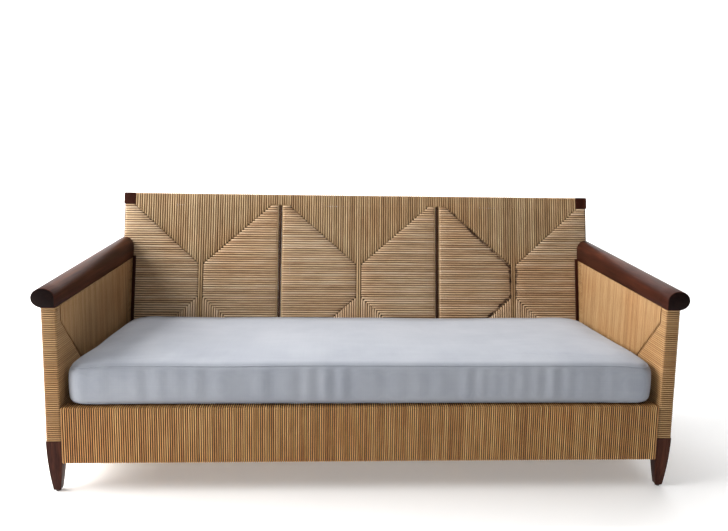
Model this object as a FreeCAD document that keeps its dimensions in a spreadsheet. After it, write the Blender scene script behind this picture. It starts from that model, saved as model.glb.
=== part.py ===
import FreeCAD, Part
import math
import os
import re

import Sketcher

# A three-seat daybed: a hardwood frame wrapped in round cane, two round handrails, a
# slatted seat and one long loose cushion. +X is to the right for someone who faces it,
# +Y is to the rear and +Z is up. The origin is on the floor, under the middle of the
# bounding box. Heights are measured from the floor, and distances "from the front" from
# the front plane of the woven posts.

SIZES = [
    ("frame_width", 2070, "over the two woven front posts"),
    ("frame_height", 917, "floor to the front edge of the back's top"),
    ("panel", 50, "thickness of the woven arm and back frames, and width of a leg"),
    ("strand", 4, "depth of the wrapped cane on a wooden member"),
    ("skin", 8, "depth of each woven face over an open bay"),
    ("play", 1, "clearance of the stuffing and of the front rail's weave"),
    ("back_reach", 848, "from the front to the front edge of the back's top"),
    ("back_slope", 0.208, "how far the back leans per unit of height"),
    ("back_length", 765, "height of the woven back along its slope"),
    ("member", 49, "width of a wooden rail inside the weave"),
    ("top_band", 50, "height of the wrapped top rail and of the bare corner blocks"),
    ("groove_centre", 350, "middle of the two grooves that part the back"),
    ("groove_width", 8, "width of the dark strip in each groove"),
    ("inner_stile", 33, "width of a wooden stile beside a groove"),
    ("trim_width", 11, "dark trim between arm and back"),
    ("trim_depth", 10, "how far that trim stands in front of the back"),
    ("trim_bottom", 96, "start of the trim along the back's slope"),
    ("trim_length", 391, "length of the trim"),
    ("arm_height", 622, "underside of a handrail at the front"),
    ("arm_rise", 0.02, "how far that underside rises per unit of depth"),
    ("rail_width", 76, "width of a handrail"),
    ("rail_front", 64, "height of a handrail at its front end"),
    ("rail_rear", 88, "height of a handrail at its rear end"),
    ("rail_reach", 830, "from the front to the rear section of the handrail's loft"),
    ("front_overhang", 5, "how far a handrail stands in front of its post"),
    ("leg_bare", 178, "height of the bare, dark part of a leg"),
    ("foot_width", 24, "width of a leg at the floor"),
    ("foot_bevel", 3, "bevel round a foot"),
    ("taper_radius", 1400, "radius of a leg's curved sides"),
    ("glide_height", 4, "thickness of a nail-on glide"),
    ("glide_radius", 8, "radius of a nail-on glide"),
    ("apron_bottom", 102, "underside of the woven front rail and arms"),
    ("apron_top", 293, "top of the woven front rail"),
    ("apron_depth", 45, "depth of the woven front rail"),
    ("apron_proud", 3, "how far the front rail stands in front of the posts"),
    ("apron_round", 7, "rounding of the front rail's long front edges"),
    ("box_thickness", 30, "thickness of the inner seat rails"),
    ("box_bottom", 110, "underside of the inner seat rails"),
    ("box_top", 255, "top of the inner seat rails"),
    ("box_reach", 690, "from the front to the rear face of the rear seat rail"),
    ("cleat", 20, "width and height of the ledges that carry the slats"),
    ("seat_slope", 0.048, "how far the seat drops per unit of depth"),
    ("seat_height", 295, "top of the slats' plane at the front"),
    ("slat_count", 13, "number of slats"),
    ("slat_width", 90, "width of a slat"),
    ("slat_thickness", 18, "thickness of a slat"),
    ("slat_play", 1.5, "clearance at each end of a slat"),
    ("slat_margin", 10, "gap between an end slat and a side rail"),
    ("stretcher_height", 50, "height of the two cross rails under the slats"),
    ("block_side", 70, "short sides of a corner block"),
    ("block_height", 60, "height of a corner block"),
    ("block_bottom", 165, "underside of a corner block"),
    ("dowel_radius", 5, "radius of the frame's dowels"),
    ("dowel_length", 60, "length of the frame's dowels"),
    ("dowel_inset", 20, "height of a front rail's dowels above or below its limits"),
    ("arm_dowel", 142, "height of the dowels at the ends of an arm's bottom rail"),
    ("screw_radius", 2.5, "radius of a screw's shank"),
    ("head_radius", 5, "radius of a screw's head"),
    ("head_height", 3, "depth of a screw's countersunk head"),
    ("screw_sink", 0.5, "how far a screw's head lies below the surface"),
    ("rail_screw", 80, "length of a handrail screw"),
    ("slat_screw", 32, "length of a slat screw"),
    ("block_screw", 60, "length of a corner block screw"),
    ("block_screw_inset", 32, "corner block screw to the nearer rail"),
    ("block_screw_spread", 16, "height between a corner block's two screws"),
    ("arm_screw", 60, "length of a screw from the seat frame into an arm"),
    ("cushion_width", 1916, "width of the cushion"),
    ("cushion_height", 135, "height of the cushion"),
    ("cushion_front", 10, "from the front to the cushion's front face"),
    ("cushion_gap", 2, "clearance between cushion and back"),
    ("cushion_lift", 0.5, "clearance between cushion and slats"),
    ("cover", 2, "thickness of the cushion's cover"),
]

doc = FreeCAD.newDocument("daybed")
sheet = doc.addObject("Spreadsheet::Sheet", "Sizes")
for row, (alias, number, meaning) in enumerate(SIZES, start=1):
    sheet.set("A%d" % row, meaning)
    sheet.set("B%d" % row, str(number))
    sheet.setAlias("B%d" % row, alias)
doc.recompute()

ALIASES = {alias for alias, number, meaning in SIZES}
SIDES = {"left": -1, "right": 1}

# Where screws stand along an arm, as shares of the depth.
HANDRAIL_SCREWS = (0.16, 0.48, 0.80)
ARM_SCREWS = (0.2, 0.45, 0.7)

# Cosine and sine of the back's lean, as formulas.
COSINE = "(1 / sqrt(1 + back_slope ^ 2))"
SINE = "(back_slope / sqrt(1 + back_slope ^ 2))"

nodes = {}


def formula(text):
    """Turn a formula written with the sheet's aliases into a FreeCAD expression."""
    def name(word):
        return "Sizes." + word.group() if word.group() in ALIASES else word.group()
    return re.sub(r"[a-z_]+", name, str(text))


def value(text):
    """The number that a formula gives now."""
    result = sheet.evalExpression(formula(text))
    return float(result)


def bind(item, prop, text):
    item.setExpression(prop, formula(text))


def place(item, x, y, z, lean=0.0):
    """Put an item at a point, tipped back by lean degrees about X."""
    turn = FreeCAD.Rotation(FreeCAD.Vector(1, 0, 0), -lean)
    item.Placement = FreeCAD.Placement(FreeCAD.Vector(x, y, z), turn)


def keep(item, label):
    """Register an item as one finished sub-part."""
    item.Label = label
    nodes[label] = item
    return item


LEAN = math.degrees(math.atan(value("back_slope")))
SEAT_TILT = math.degrees(math.atan(value("seat_slope")))
FRONT = -value("back_reach + panel * %s - front_overhang" % COSINE) / 2
HALF = value("frame_width / 2")


def box(name, length, width, height):
    """A Part box with its three sizes bound to the sheet."""
    item = doc.addObject("Part::Box", name)
    bind(item, "Length", length)
    bind(item, "Width", width)
    bind(item, "Height", height)
    return item


def back_box(name, x, across, up, length, width, height):
    """A box in the leaning frame of the back: across is into it, up is along its slope."""
    item = box(name, length, width, height)
    place(item, *on_back(value(x), value(across), value(up)), LEAN)
    return item


def on_back(x, across, up):
    """A point given in the leaning frame of the back, in the part's own frame."""
    sine = value(SINE)
    cosine = value(COSINE)
    below = value("back_length") - up
    y = FRONT + value("back_reach") + across * cosine - below * sine
    z = value("frame_height") - across * sine - below * cosine
    return (x, y, z)


def back_line(across, height):
    """Distance from the front of a line parallel to the back, at a height."""
    return "(back_reach - (frame_height - (%s)) * back_slope + (%s) / %s)" % (height, across, COSINE)


def under_rail(reach):
    """Height of a handrail's underside at a distance from the front."""
    return "(arm_height + arm_rise * (%s))" % reach


def seat_plane(reach):
    """Height of the top of the slats at a distance from the front."""
    return "(seat_height - seat_slope * (%s))" % reach


def fix_point(sketch, edge, end, x, y):
    """Tie one end of a sketch edge to the origin by its two coordinates."""
    for axis, text in (("X", x), ("Y", y)):
        number = value(text)
        if abs(number) < 1e-9:
            line = -2 if axis == "X" else -1
            sketch.addConstraint(Sketcher.Constraint("PointOnObject", edge, end, line))
            continue
        rule = Sketcher.Constraint("Distance" + axis, -1, 1, edge, end, number)
        index = sketch.addConstraint(rule)
        bind(sketch, "Constraints[%d]" % index, text)


def arc_between(start, finish, radius):
    """A short arc to the right of the way from start to finish."""
    chord = finish - start
    middle = (start + finish) / 2
    half = chord.Length / 2
    sagitta = radius - math.sqrt(radius ** 2 - half ** 2)
    outward = FreeCAD.Vector(chord.y, -chord.x, 0).normalize()
    return Part.Arc(start, middle + outward * sagitta, finish)


def outline(owner, plane, points):
    """A closed sketch on one of a body's origin planes. A point is (x, y), or
    (x, y, radius) where the edge that leaves it is an arc bulging to its right."""
    sketch = owner.newObject("Sketcher::SketchObject", owner.Name + "_outline")
    support = [item for item in owner.Origin.OriginFeatures if item.Role == plane][0]
    sketch.AttachmentSupport = [(support, "")]
    sketch.MapMode = "FlatFace"
    corners = [FreeCAD.Vector(value(point[0]), value(point[1]), 0) for point in points]
    ends = []
    for index, point in enumerate(points):
        start = corners[index]
        finish = corners[(index + 1) % len(points)]
        if len(point) == 3:
            curve = arc_between(start, finish, value(point[2]))
            sketch.addGeometry(curve, False)
            first = 1 if sketch.getPoint(index, 1).distanceToPoint(start) < 1e-6 else 2
        else:
            sketch.addGeometry(Part.LineSegment(start, finish), False)
            first = 1
        ends.append((first, 3 - first))
    for index, point in enumerate(points):
        after = (index + 1) % len(points)
        joint = Sketcher.Constraint("Coincident", index, ends[index][1], after, ends[after][0])
        sketch.addConstraint(joint)
    for index, point in enumerate(points):
        fix_point(sketch, index, ends[index][0], point[0], point[1])
        if len(point) == 3:
            rule = Sketcher.Constraint("Radius", index, value(point[2]))
            bind(sketch, "Constraints[%d]" % sketch.addConstraint(rule), point[2])
    return sketch


def pad(name, plane, points, length, reverse=False):
    """A PartDesign body with one padded outline."""
    owner = doc.addObject("PartDesign::Body", name)
    sketch = outline(owner, plane, points)
    feature = owner.newObject("PartDesign::Pad", name + "_pad")
    feature.Profile = sketch
    feature.Reversed = reverse
    bind(feature, "Length", length)
    owner.Tip = feature
    return owner


def group(name, items):
    item = doc.addObject("Part::Compound", name)
    item.Links = items
    return item


def cut(name, base, *tools):
    """The base less each tool in turn."""
    for number, tool in enumerate(tools, start=1):
        result = doc.addObject("Part::Cut", "%s_cut_%d" % (name, number))
        result.Base = base
        result.Tool = tool
        base = result
    return base


def fuse(name, *items):
    item = doc.addObject("Part::MultiFuse", name)
    item.Shapes = list(items)
    item.Refine = True
    return item


# ---------------------------------------------------------------- fasteners


def dowel(name, position, direction):
    """A dowel centred on a point."""
    item = doc.addObject("Part::Cylinder", name)
    bind(item, "Radius", "dowel_radius")
    bind(item, "Height", "dowel_length")
    way = FreeCAD.Vector(*direction).normalize()
    centre = FreeCAD.Vector(*position)
    start = centre - way * (value("dowel_length") / 2)
    item.Placement = FreeCAD.Placement(start, FreeCAD.Rotation(FreeCAD.Vector(0, 0, 1), way))
    return item


def arm_dowel_places(x):
    """Dowels at both ends of an arm's bottom and top rails."""
    along = (0, 1, 0)
    high = "-(strand + member / 2)"
    rear_join = value(back_line("strand - panel", "arm_height"))
    yield (x, FRONT + value("panel"), value("arm_dowel")), along
    yield (x, FRONT + value(back_line("0", "leg_bare")), value("arm_dowel")), along
    yield (x, FRONT + value("panel - strand"), value("arm_height + " + high)), along
    yield (x, FRONT + rear_join, value(under_rail(rear_join) + " + " + high)), along


def stile_dowel_places(sign):
    """Dowels at both ends of the two stiles beside a groove."""
    up_slope = (0, value(SINE), value(COSINE))
    offset = value("groove_width / 2 + strand + inner_stile / 2")
    for shift in (-offset, offset):
        for up in ("strand + member", "back_length - top_band + strand"):
            yield on_back(sign * value("groove_centre") + shift, value("panel / 2"), value(up)), up_slope


def dowel_places():
    """Where each dowel is and which way it points."""
    across = (1, 0, 0)
    for sign in SIDES.values():
        leg_face = sign * (HALF - value("panel"))
        for height in ("apron_bottom + strand + dowel_inset", "leg_bare - dowel_inset"):
            yield (leg_face, FRONT + value("apron_depth / 2 - apron_proud"), value(height)), across
        yield from arm_dowel_places(sign * (HALF - value("panel / 2")))
        yield on_back(leg_face, value("panel / 2"), value("back_length - top_band / 2")), across
        bottom_end = sign * (HALF - value("panel - strand"))
        yield on_back(bottom_end, value("panel / 2"), value("strand + member / 2")), across
        yield from stile_dowel_places(sign)


dowels = group("dowels_group", [
    dowel("dowel_%02d" % number, position, direction)
    for number, (position, direction) in enumerate(dowel_places(), start=1)
])
keep(dowels, "dowels")


def screw_shape(length):
    """A countersunk screw along +Z, its head's flat face at the origin."""
    head = Part.makeCone(
        value("head_radius"),
        value("screw_radius"),
        value("head_height"),
    )
    shank = Part.makeCylinder(value("screw_radius"), length)
    return head.fuse(shank).removeSplitter()


def screws(label, length, places):
    """A group of equal screws, each at a point and pointing along a direction."""
    pieces = []
    for position, direction in places:
        piece = screw_shape(length)
        way = FreeCAD.Rotation(FreeCAD.Vector(0, 0, 1), FreeCAD.Vector(*direction))
        piece.Placement = FreeCAD.Placement(FreeCAD.Vector(*position), way)
        pieces.append(piece)
    item = doc.addObject("Part::Feature", label)
    item.Shape = Part.makeCompound(pieces)
    item.Placement = FreeCAD.Placement()
    return keep(item, label)


def rail_screw_places():
    """Three screws up through each arm's top rail into its handrail."""
    for sign in SIDES.values():
        for share in HANDRAIL_SCREWS:
            reach = value("back_reach") * share
            height = value(under_rail(reach)) - value("strand + member")
            yield (sign * (HALF - value("panel / 2")), FRONT + reach, height), (0, 0, 1)


rail_screws = screws("handrail_screws", value("rail_screw"), rail_screw_places())


INNER = value("frame_width / 2 - panel")
REAR_OF_APRON = value("apron_depth - apron_proud")


def block_corners():
    """The four inside corners of the seat frame, with the way to their middle."""
    for sign_x in (-1, 1):
        x = sign_x * (INNER - value("box_thickness"))
        yield x, FRONT + REAR_OF_APRON, -sign_x, 1
        yield x, FRONT + value("box_reach - box_thickness"), -sign_x, -1


def block_screw_places():
    """Two screws from each corner block into the two rails that it joins."""
    level = value("block_bottom + block_height / 2")
    shift = value("block_screw_spread / 2")
    inset = value("block_screw_inset")
    depth = value("block_side - block_screw_inset - screw_sink")
    for x, y, way_x, way_y in block_corners():
        yield (x + way_x * inset, y + way_y * depth, level - shift), (0, -way_y, 0)
        yield (x + way_x * depth, y + way_y * inset, level + shift), (-way_x, 0, 0)


def arm_screw_places():
    """Three screws on each side, from the inner seat rail into the arm's bottom rail."""
    level = value("apron_bottom + strand + member / 2")
    for sign in SIDES.values():
        for share in ARM_SCREWS:
            start = sign * (INNER - value("box_thickness"))
            yield (start, FRONT + value("back_reach") * share, level), (sign, 0, 0)


block_screws = screws("corner_block_screws", value("block_screw"), block_screw_places())
arm_screws = screws("arm_screws", value("arm_screw"), arm_screw_places())


# ---------------------------------------------------------------- legs


def foot_points(shift):
    """Outline of the bare part of a leg: curved sides down to a small bevelled foot."""
    inset = "(panel - foot_width) / 2"
    left = "%s + %s" % (shift, inset)
    right = "%s + panel - %s" % (shift, inset)
    return [
        (left + " + foot_bevel", "glide_height"),
        (right + " - foot_bevel", "glide_height"),
        (right, "glide_height + foot_bevel", "taper_radius"),
        (shift + " + panel", "leg_bare"),
        (shift, "leg_bare", "taper_radius"),
        (left, "glide_height + foot_bevel"),
    ]


def bare_foot(name, x, y):
    """The bare part of a leg, tapered the same way on all four sides."""
    side = pad(name + "_side", "YZ_Plane", foot_points("0"), "panel")
    place(side, x, y, 0)
    front = pad(name + "_face", "XZ_Plane", foot_points("0"), "panel", reverse=True)
    place(front, x, y, 0)
    item = doc.addObject("Part::Common", name)
    item.Base = side
    item.Tool = front
    return item


glides = []
rear_reach = value(back_line("0", "leg_bare"))
posts = {}
rear_legs = []
foot_rooms = []
for side_name, sign in SIDES.items():
    edge = -HALF if sign < 0 else HALF - value("panel")
    core_edge = edge + value("strand")

    foot = bare_foot("front_foot_" + side_name, edge, FRONT)
    post = box(
        "front_post_" + side_name,
        "panel - strand * 2",
        "panel - strand * 2",
        "arm_height - strand - leg_bare",
    )
    place(post, core_edge, FRONT + value("strand"), value("leg_bare"))
    whole = fuse("front_leg_whole_" + side_name, foot, post)
    keep(cut("front_leg_" + side_name, whole, dowels), "front_leg_" + side_name)

    foot = bare_foot("rear_foot_" + side_name, edge, FRONT + rear_reach)
    stile = back_box(
        "rear_stile_" + side_name,
        core_edge, "strand", "0",
        "panel - strand * 2", "panel - strand * 2", "back_length - top_band",
    )
    block = back_box(
        "rear_block_" + side_name,
        edge, "0", "back_length - top_band",
        "panel", "panel", "top_band",
    )
    whole = fuse("rear_leg_whole_" + side_name, foot, stile, block)
    keep(cut("rear_leg_" + side_name, whole, dowels), "rear_leg_" + side_name)
    posts[side_name] = post
    rear_legs.append(whole)

    room = box("foot_room_" + side_name, "panel", "panel * 2", "leg_bare")
    place(room, edge, FRONT + rear_reach - value("panel / 2"), 0)
    foot_rooms.append(room)

    for reach in (0, rear_reach):
        glide = doc.addObject("Part::Cylinder", "glide_%s_%d" % (side_name, reach))
        bind(glide, "Radius", "glide_radius")
        bind(glide, "Height", "glide_height")
        place(glide, edge + value("panel / 2"), FRONT + reach + value("panel / 2"), 0)
        glides.append(glide)
keep(group("glides_group", glides), "foot_glides")


# ---------------------------------------------------------------- front rail


def apron_points(inset):
    """Section of the front rail: its long front edges are rounded."""
    low = "apron_bottom + %s" % inset
    high = "apron_top - %s" % inset
    front = str(inset)
    rear = "apron_depth - %s" % inset
    if inset == "0":
        return [
            (front + " + apron_round", low),
            (rear, low),
            (rear, high),
            (front + " + apron_round", high, "apron_round"),
            (front, high + " - apron_round"),
            (front, low + " + apron_round", "apron_round"),
        ]
    return [(front, low), (rear, low), (rear, high), (front, high)]


front_core = pad("front_rail_core", "YZ_Plane", apron_points("strand"), "frame_width - panel * 2")
place(front_core, value("panel") - HALF, FRONT - value("apron_proud"), 0)
keep(cut("seat_rail_front", front_core, dowels, block_screws), "seat_rail_front")

front_sleeve = pad("front_rail_sleeve", "YZ_Plane", apron_points("0"), "frame_width - (panel + play) * 2")
place(front_sleeve, value("panel + play") - HALF, FRONT - value("apron_proud"), 0)
keep(cut("weave_front_rail", front_sleeve, front_core, block_screws), "weave_front_rail")


# ---------------------------------------------------------------- arms


def arm_points():
    """Side outline of a whole woven arm."""
    rear_top = "(back_reach - (frame_height - arm_height) * back_slope) / (1 - arm_rise * back_slope)"
    rear_foot = back_line("0", "leg_bare")
    return [
        ("panel", "apron_bottom"),
        (rear_foot, "apron_bottom"),
        (rear_foot, "leg_bare"),
        (rear_top, under_rail(rear_top)),
        ("0", "arm_height"),
        ("0", "leg_bare"),
        ("panel", "leg_bare"),
    ]


TOP_REAR = under_rail("back_reach - panel * 2") + " - strand"


def top_rail_points():
    """The rail under the handrail: its top follows the handrail's underside."""
    return [
        ("panel - strand", under_rail("panel") + " - strand - member"),
        (back_line("strand - panel", TOP_REAR + " - member"), TOP_REAR + " - member"),
        (back_line("strand - panel", TOP_REAR), TOP_REAR),
        ("panel - strand", under_rail("panel") + " - strand"),
    ]


def bottom_rail_points():
    return [
        ("panel", "apron_bottom + strand"),
        (back_line("0", "leg_bare"), "apron_bottom + strand"),
        (back_line("0", "leg_bare"), "apron_bottom + strand + member"),
        ("panel", "apron_bottom + strand + member"),
    ]


def rear_stile_points():
    """The arm's own rear stile, parallel to the back."""
    low = "apron_bottom + strand + member"
    return [
        (back_line("strand - panel", low), low),
        (back_line("-strand", low), low),
        (back_line("-strand", TOP_REAR), TOP_REAR),
        (back_line("strand - panel", TOP_REAR), TOP_REAR),
    ]


def bay_points():
    """The open bay of an arm's frame, between the wrapped members."""
    low = "apron_bottom + strand * 2 + member"
    high = "arm_height - strand * 2 - member"
    return [
        ("panel", low),
        (back_line("-panel", low), low),
        (back_line("-panel", high), high),
        ("panel", high),
    ]


arm_slabs = []
for side_name, sign in SIDES.items():
    edge = -HALF if sign < 0 else HALF - value("panel")
    core_edge = edge + value("strand")
    post = posts[side_name]

    members = {}
    for part_name, points in (
        ("arm_top_rail_", top_rail_points()),
        ("arm_bottom_rail_", bottom_rail_points()),
        ("arm_rear_stile_", rear_stile_points()),
    ):
        member = pad(part_name + "core_" + side_name, "YZ_Plane", points, "panel - strand * 2")
        place(member, core_edge, FRONT, 0)
        members[part_name] = member
        drilled = cut(part_name + side_name, member, dowels)
        if part_name == "arm_top_rail_":
            drilled = cut(part_name + "screwed_" + side_name, drilled, rail_screws)
        if part_name == "arm_bottom_rail_":
            drilled = cut(part_name + "screwed_" + side_name, drilled, arm_screws)
        keep(drilled, part_name + side_name)

    bay = pad("arm_bay_" + side_name, "YZ_Plane", bay_points(), "panel - skin * 2")
    place(bay, edge + value("skin"), FRONT, 0)
    filling = pad("arm_filling_" + side_name, "YZ_Plane", bay_points(), "panel - (skin + play) * 2")
    place(filling, edge + value("skin + play"), FRONT, 0)
    keep(filling, "arm_stuffing_" + side_name)

    slab = pad("arm_slab_" + side_name, "YZ_Plane", arm_points(), "panel")
    place(slab, edge, FRONT, 0)
    arm_slabs.append(slab)
    hollows = [post, *members.values(), bay, rail_screws, arm_screws]
    woven = cut("weave_arm_" + side_name, slab, *hollows)
    keep(woven, "weave_arm_" + side_name)


# ---------------------------------------------------------------- handrails


def rail_section(height, base, reach):
    """A handrail's section: round on top and outside, square at its inner lower edge."""
    stretch = FreeCAD.Matrix()
    stretch.scale(value("rail_width"), 1, height)
    stretch.move(HALF - value("panel"), FRONT + reach, base)
    middle = FreeCAD.Vector(0.5, 0, 0.5)

    def on_circle(degrees):
        turn = math.radians(degrees)
        return middle + FreeCAD.Vector(math.cos(turn), 0, math.sin(turn)) * 0.5

    inside = on_circle(180)
    bottom = on_circle(-90)
    corner = stretch.multVec(FreeCAD.Vector(0, 0, 0))
    edges = [Part.LineSegment(corner, stretch.multVec(inside)).toShape()]
    for start in (180, 90, 0):
        quarter = Part.Arc(on_circle(start), on_circle(start - 45), on_circle(start - 90))
        edges += quarter.toShape().transformGeometry(stretch).Edges
    edges.append(Part.LineSegment(stretch.multVec(bottom), corner).toShape())
    return Part.Wire(edges)


rail_sections = [
    rail_section(value(height), value(under_rail(reach)), value(reach))
    for height, reach in (("rail_front", "-front_overhang"), ("rail_rear", "rail_reach"))
]
rail_blank = doc.addObject("Part::Feature", "handrail_blank")
rail_blank.Shape = Part.makeLoft(rail_sections, True, True)
rail_blank.Placement = FreeCAD.Placement()

behind = back_box(
    "behind_back", "-frame_width", "0", "0", "frame_width * 2", "panel * 4", "back_length * 1.2",
)
right_rail = cut("handrail_trimmed", rail_blank, behind)
left_rail = doc.addObject("Part::Mirroring", "handrail_mirrored")
left_rail.Source = right_rail
left_rail.Normal = FreeCAD.Vector(1, 0, 0)
keep(cut("handrail_right", right_rail, rail_screws), "handrail_right")
keep(cut("handrail_left", left_rail, rail_screws), "handrail_left")


# ---------------------------------------------------------------- back


top_core = back_box(
    "back_top_core",
    "panel - frame_width / 2", "strand", "back_length - top_band + strand",
    "frame_width - panel * 2", "panel - strand * 2", "top_band - strand * 2",
)
keep(cut("back_top_rail", top_core, dowels), "back_top_rail")

bottom_core = back_box(
    "back_bottom_core",
    "panel - strand - frame_width / 2", "strand", "strand",
    "frame_width - (panel - strand) * 2", "panel - strand * 2", "member",
)
keep(cut("back_bottom_rail", bottom_core, dowels, *rear_legs), "back_bottom_rail")

stile_cores = []
for side_name, sign in SIDES.items():
    for place_name, shift in (("inner", -1), ("outer", 1)):
        middle = "%d * (groove_centre + %d * (groove_width / 2 + strand + inner_stile / 2))" % (sign, shift)
        core = back_box(
            "stile_core_%s_%s" % (place_name, side_name),
            middle + " - inner_stile / 2", "strand", "strand + member",
            "inner_stile", "panel - strand * 2", "back_length - top_band - member",
        )
        stile_cores.append(core)
        label = "back_stile_%s_%s" % (place_name, side_name)
        keep(cut(label, core, dowels), label)
    strip = back_box(
        "groove_strip_" + side_name,
        "%d * groove_centre - groove_width / 2" % sign, "strand", "strand + member",
        "groove_width", "panel - strand * 2", "back_length - top_band - member",
    )
    keep(strip, "groove_strip_" + side_name)
    trim_edge = "frame_width / 2 - panel - trim_width" if sign > 0 else "panel - frame_width / 2"
    trim = back_box(
        "corner_trim_" + side_name,
        trim_edge, "-trim_depth", "trim_bottom",
        "trim_width", "trim_depth", "trim_length",
    )
    keep(trim, "corner_trim_" + side_name)

band = back_box(
    "top_band_slab",
    "panel - frame_width / 2", "0", "back_length - top_band",
    "frame_width - panel * 2", "panel", "top_band",
)
strips = [nodes["groove_strip_left"], nodes["groove_strip_right"]]
keep(cut("weave_back_top", band, top_core, *stile_cores, *strips), "weave_back_top")

MIDDLE_EDGE = "(groove_centre - groove_width / 2)"
OUTER_EDGE = "(groove_centre + groove_width / 2)"
STILE_WRAP = "(inner_stile + strand * 2)"
SECTIONS = {
    "left": ("-frame_width / 2", "-" + OUTER_EDGE, "panel", STILE_WRAP),
    "centre": ("-" + MIDDLE_EDGE, MIDDLE_EDGE, STILE_WRAP, STILE_WRAP),
    "right": (OUTER_EDGE, "frame_width / 2", STILE_WRAP, "panel"),
}
for section, (low, high, low_wrap, high_wrap) in SECTIONS.items():
    slab = back_box(
        "back_slab_" + section, low, "0", "0",
        "%s - (%s)" % (high, low), "panel", "back_length - top_band",
    )
    bay_height = "back_length - top_band - member - strand * 3"
    bay_width = "%s - (%s) - %s - %s" % (high, low, low_wrap, high_wrap)
    bay = back_box(
        "back_bay_" + section, low + " + " + low_wrap, "skin", "member + strand * 2",
        bay_width, "panel - skin * 2", bay_height,
    )
    filling = back_box(
        "back_filling_" + section, low + " + " + low_wrap, "skin + play", "member + strand * 2",
        bay_width, "panel - (skin + play) * 2", bay_height,
    )
    keep(filling, "back_stuffing_" + section)
    hollows = [bottom_core, *stile_cores, *foot_rooms, *rear_legs, *arm_slabs, bay]
    keep(cut("weave_back_" + section, slab, *hollows), "weave_back_" + section)


# ---------------------------------------------------------------- seat


rear_rail = box("rear_rail_box", "(frame_width / 2 - panel) * 2", "box_thickness", "box_top - box_bottom")
place(rear_rail, -INNER, FRONT + value("box_reach - box_thickness"), value("box_bottom"))
keep(cut("seat_rail_rear", rear_rail, block_screws), "seat_rail_rear")

for side_name, sign in SIDES.items():
    rail = box(
        "side_rail_" + side_name,
        "box_thickness",
        "box_reach - box_thickness - (apron_depth - apron_proud)",
        "box_top - box_bottom",
    )
    edge = -INNER if sign < 0 else INNER - value("box_thickness")
    place(rail, edge, FRONT + REAR_OF_APRON, value("box_bottom"))
    drilled = cut("seat_rail_" + side_name, rail, block_screws, arm_screws)
    keep(drilled, "seat_rail_" + side_name)

    stretcher = box(
        "stretcher_box_" + side_name,
        "box_thickness",
        "box_reach - box_thickness - (apron_depth - apron_proud)",
        "stretcher_height",
    )
    middle = sign * value("groove_centre") - value("box_thickness / 2")
    place(stretcher, middle, FRONT + REAR_OF_APRON, value("box_bottom"))
    keep(stretcher, "seat_stretcher_" + side_name)


SLAT_DROP = "slat_thickness * sqrt(1 + seat_slope ^ 2)"
CLEAT_LENGTH = "(frame_width / 2 - panel - box_thickness) * 2"


def cleat_points(start):
    """Section of a ledge whose top follows the underside of the slats."""
    finish = start + " + cleat"
    low = "%s - %s - cleat" % (seat_plane(start), SLAT_DROP)
    return [
        (start, low),
        (finish, low),
        (finish, "%s - %s" % (seat_plane(finish), SLAT_DROP)),
        (start, "%s - %s" % (seat_plane(start), SLAT_DROP)),
    ]


cleats = {}
for cleat_name, start in (
    ("front", "apron_depth - apron_proud"),
    ("rear", "box_reach - box_thickness - cleat"),
):
    ledge = pad("cleat_" + cleat_name, "YZ_Plane", cleat_points(start), CLEAT_LENGTH)
    place(ledge, value("box_thickness") - INNER, FRONT, 0)
    cleats[cleat_name] = ledge


def slat_middles():
    """Middle of each slat across the seat."""
    last = int(value("slat_count")) - 1
    span = (INNER - value("box_thickness + slat_margin + slat_width / 2")) * 2
    return [span * (index / last - 0.5) for index in range(last + 1)]


def slat_screw_places():
    """One screw down through each end of each slat into its ledge."""
    down = (0, 0, -1)
    for middle in slat_middles():
        for reach in (REAR_OF_APRON + value("cleat / 2"), value("box_reach - box_thickness - cleat / 2")):
            yield (middle, FRONT + reach, value(seat_plane(reach) + " - screw_sink")), down


slat_screws = screws("slat_screws", value("slat_screw"), slat_screw_places())
for cleat_name, ledge in cleats.items():
    keep(cut("slat_cleat_" + cleat_name, ledge, slat_screws), "slat_cleat_" + cleat_name)

slats = []
tilt = math.radians(SEAT_TILT)
slat_start = value("apron_depth - apron_proud + slat_play")
for number, middle in enumerate(slat_middles(), start=1):
    slat = box(
        "slat_%02d" % number,
        "slat_width",
        "box_reach - box_thickness - apron_depth + apron_proud - slat_play * 2",
        "slat_thickness",
    )
    place(
        slat,
        middle - value("slat_width / 2"),
        FRONT + slat_start - value("slat_thickness") * math.sin(tilt),
        value(seat_plane(slat_start)) - value("slat_thickness") * math.cos(tilt),
        SEAT_TILT,
    )
    slats.append(slat)
slat_group = group("slats_group", slats)
keep(cut("seat_slats", slat_group, slat_screws), "seat_slats")


BLOCK_POINTS = [("0", "0"), ("block_side", "0"), ("0", "block_side")]
TURNS = {(1, 1): 0, (-1, 1): 90, (-1, -1): 180, (1, -1): 270}


blocks = []
for number, (x, y, way_x, way_y) in enumerate(block_corners(), start=1):
    block = pad("block_%d" % number, "XY_Plane", BLOCK_POINTS, "block_height")
    turn = FreeCAD.Rotation(FreeCAD.Vector(0, 0, 1), TURNS[(way_x, way_y)])
    block.Placement = FreeCAD.Placement(FreeCAD.Vector(x, y, value("block_bottom")), turn)
    blocks.append(block)
keep(cut("corner_blocks", group("blocks_group", blocks), block_screws), "corner_blocks")


# ---------------------------------------------------------------- cushion


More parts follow.
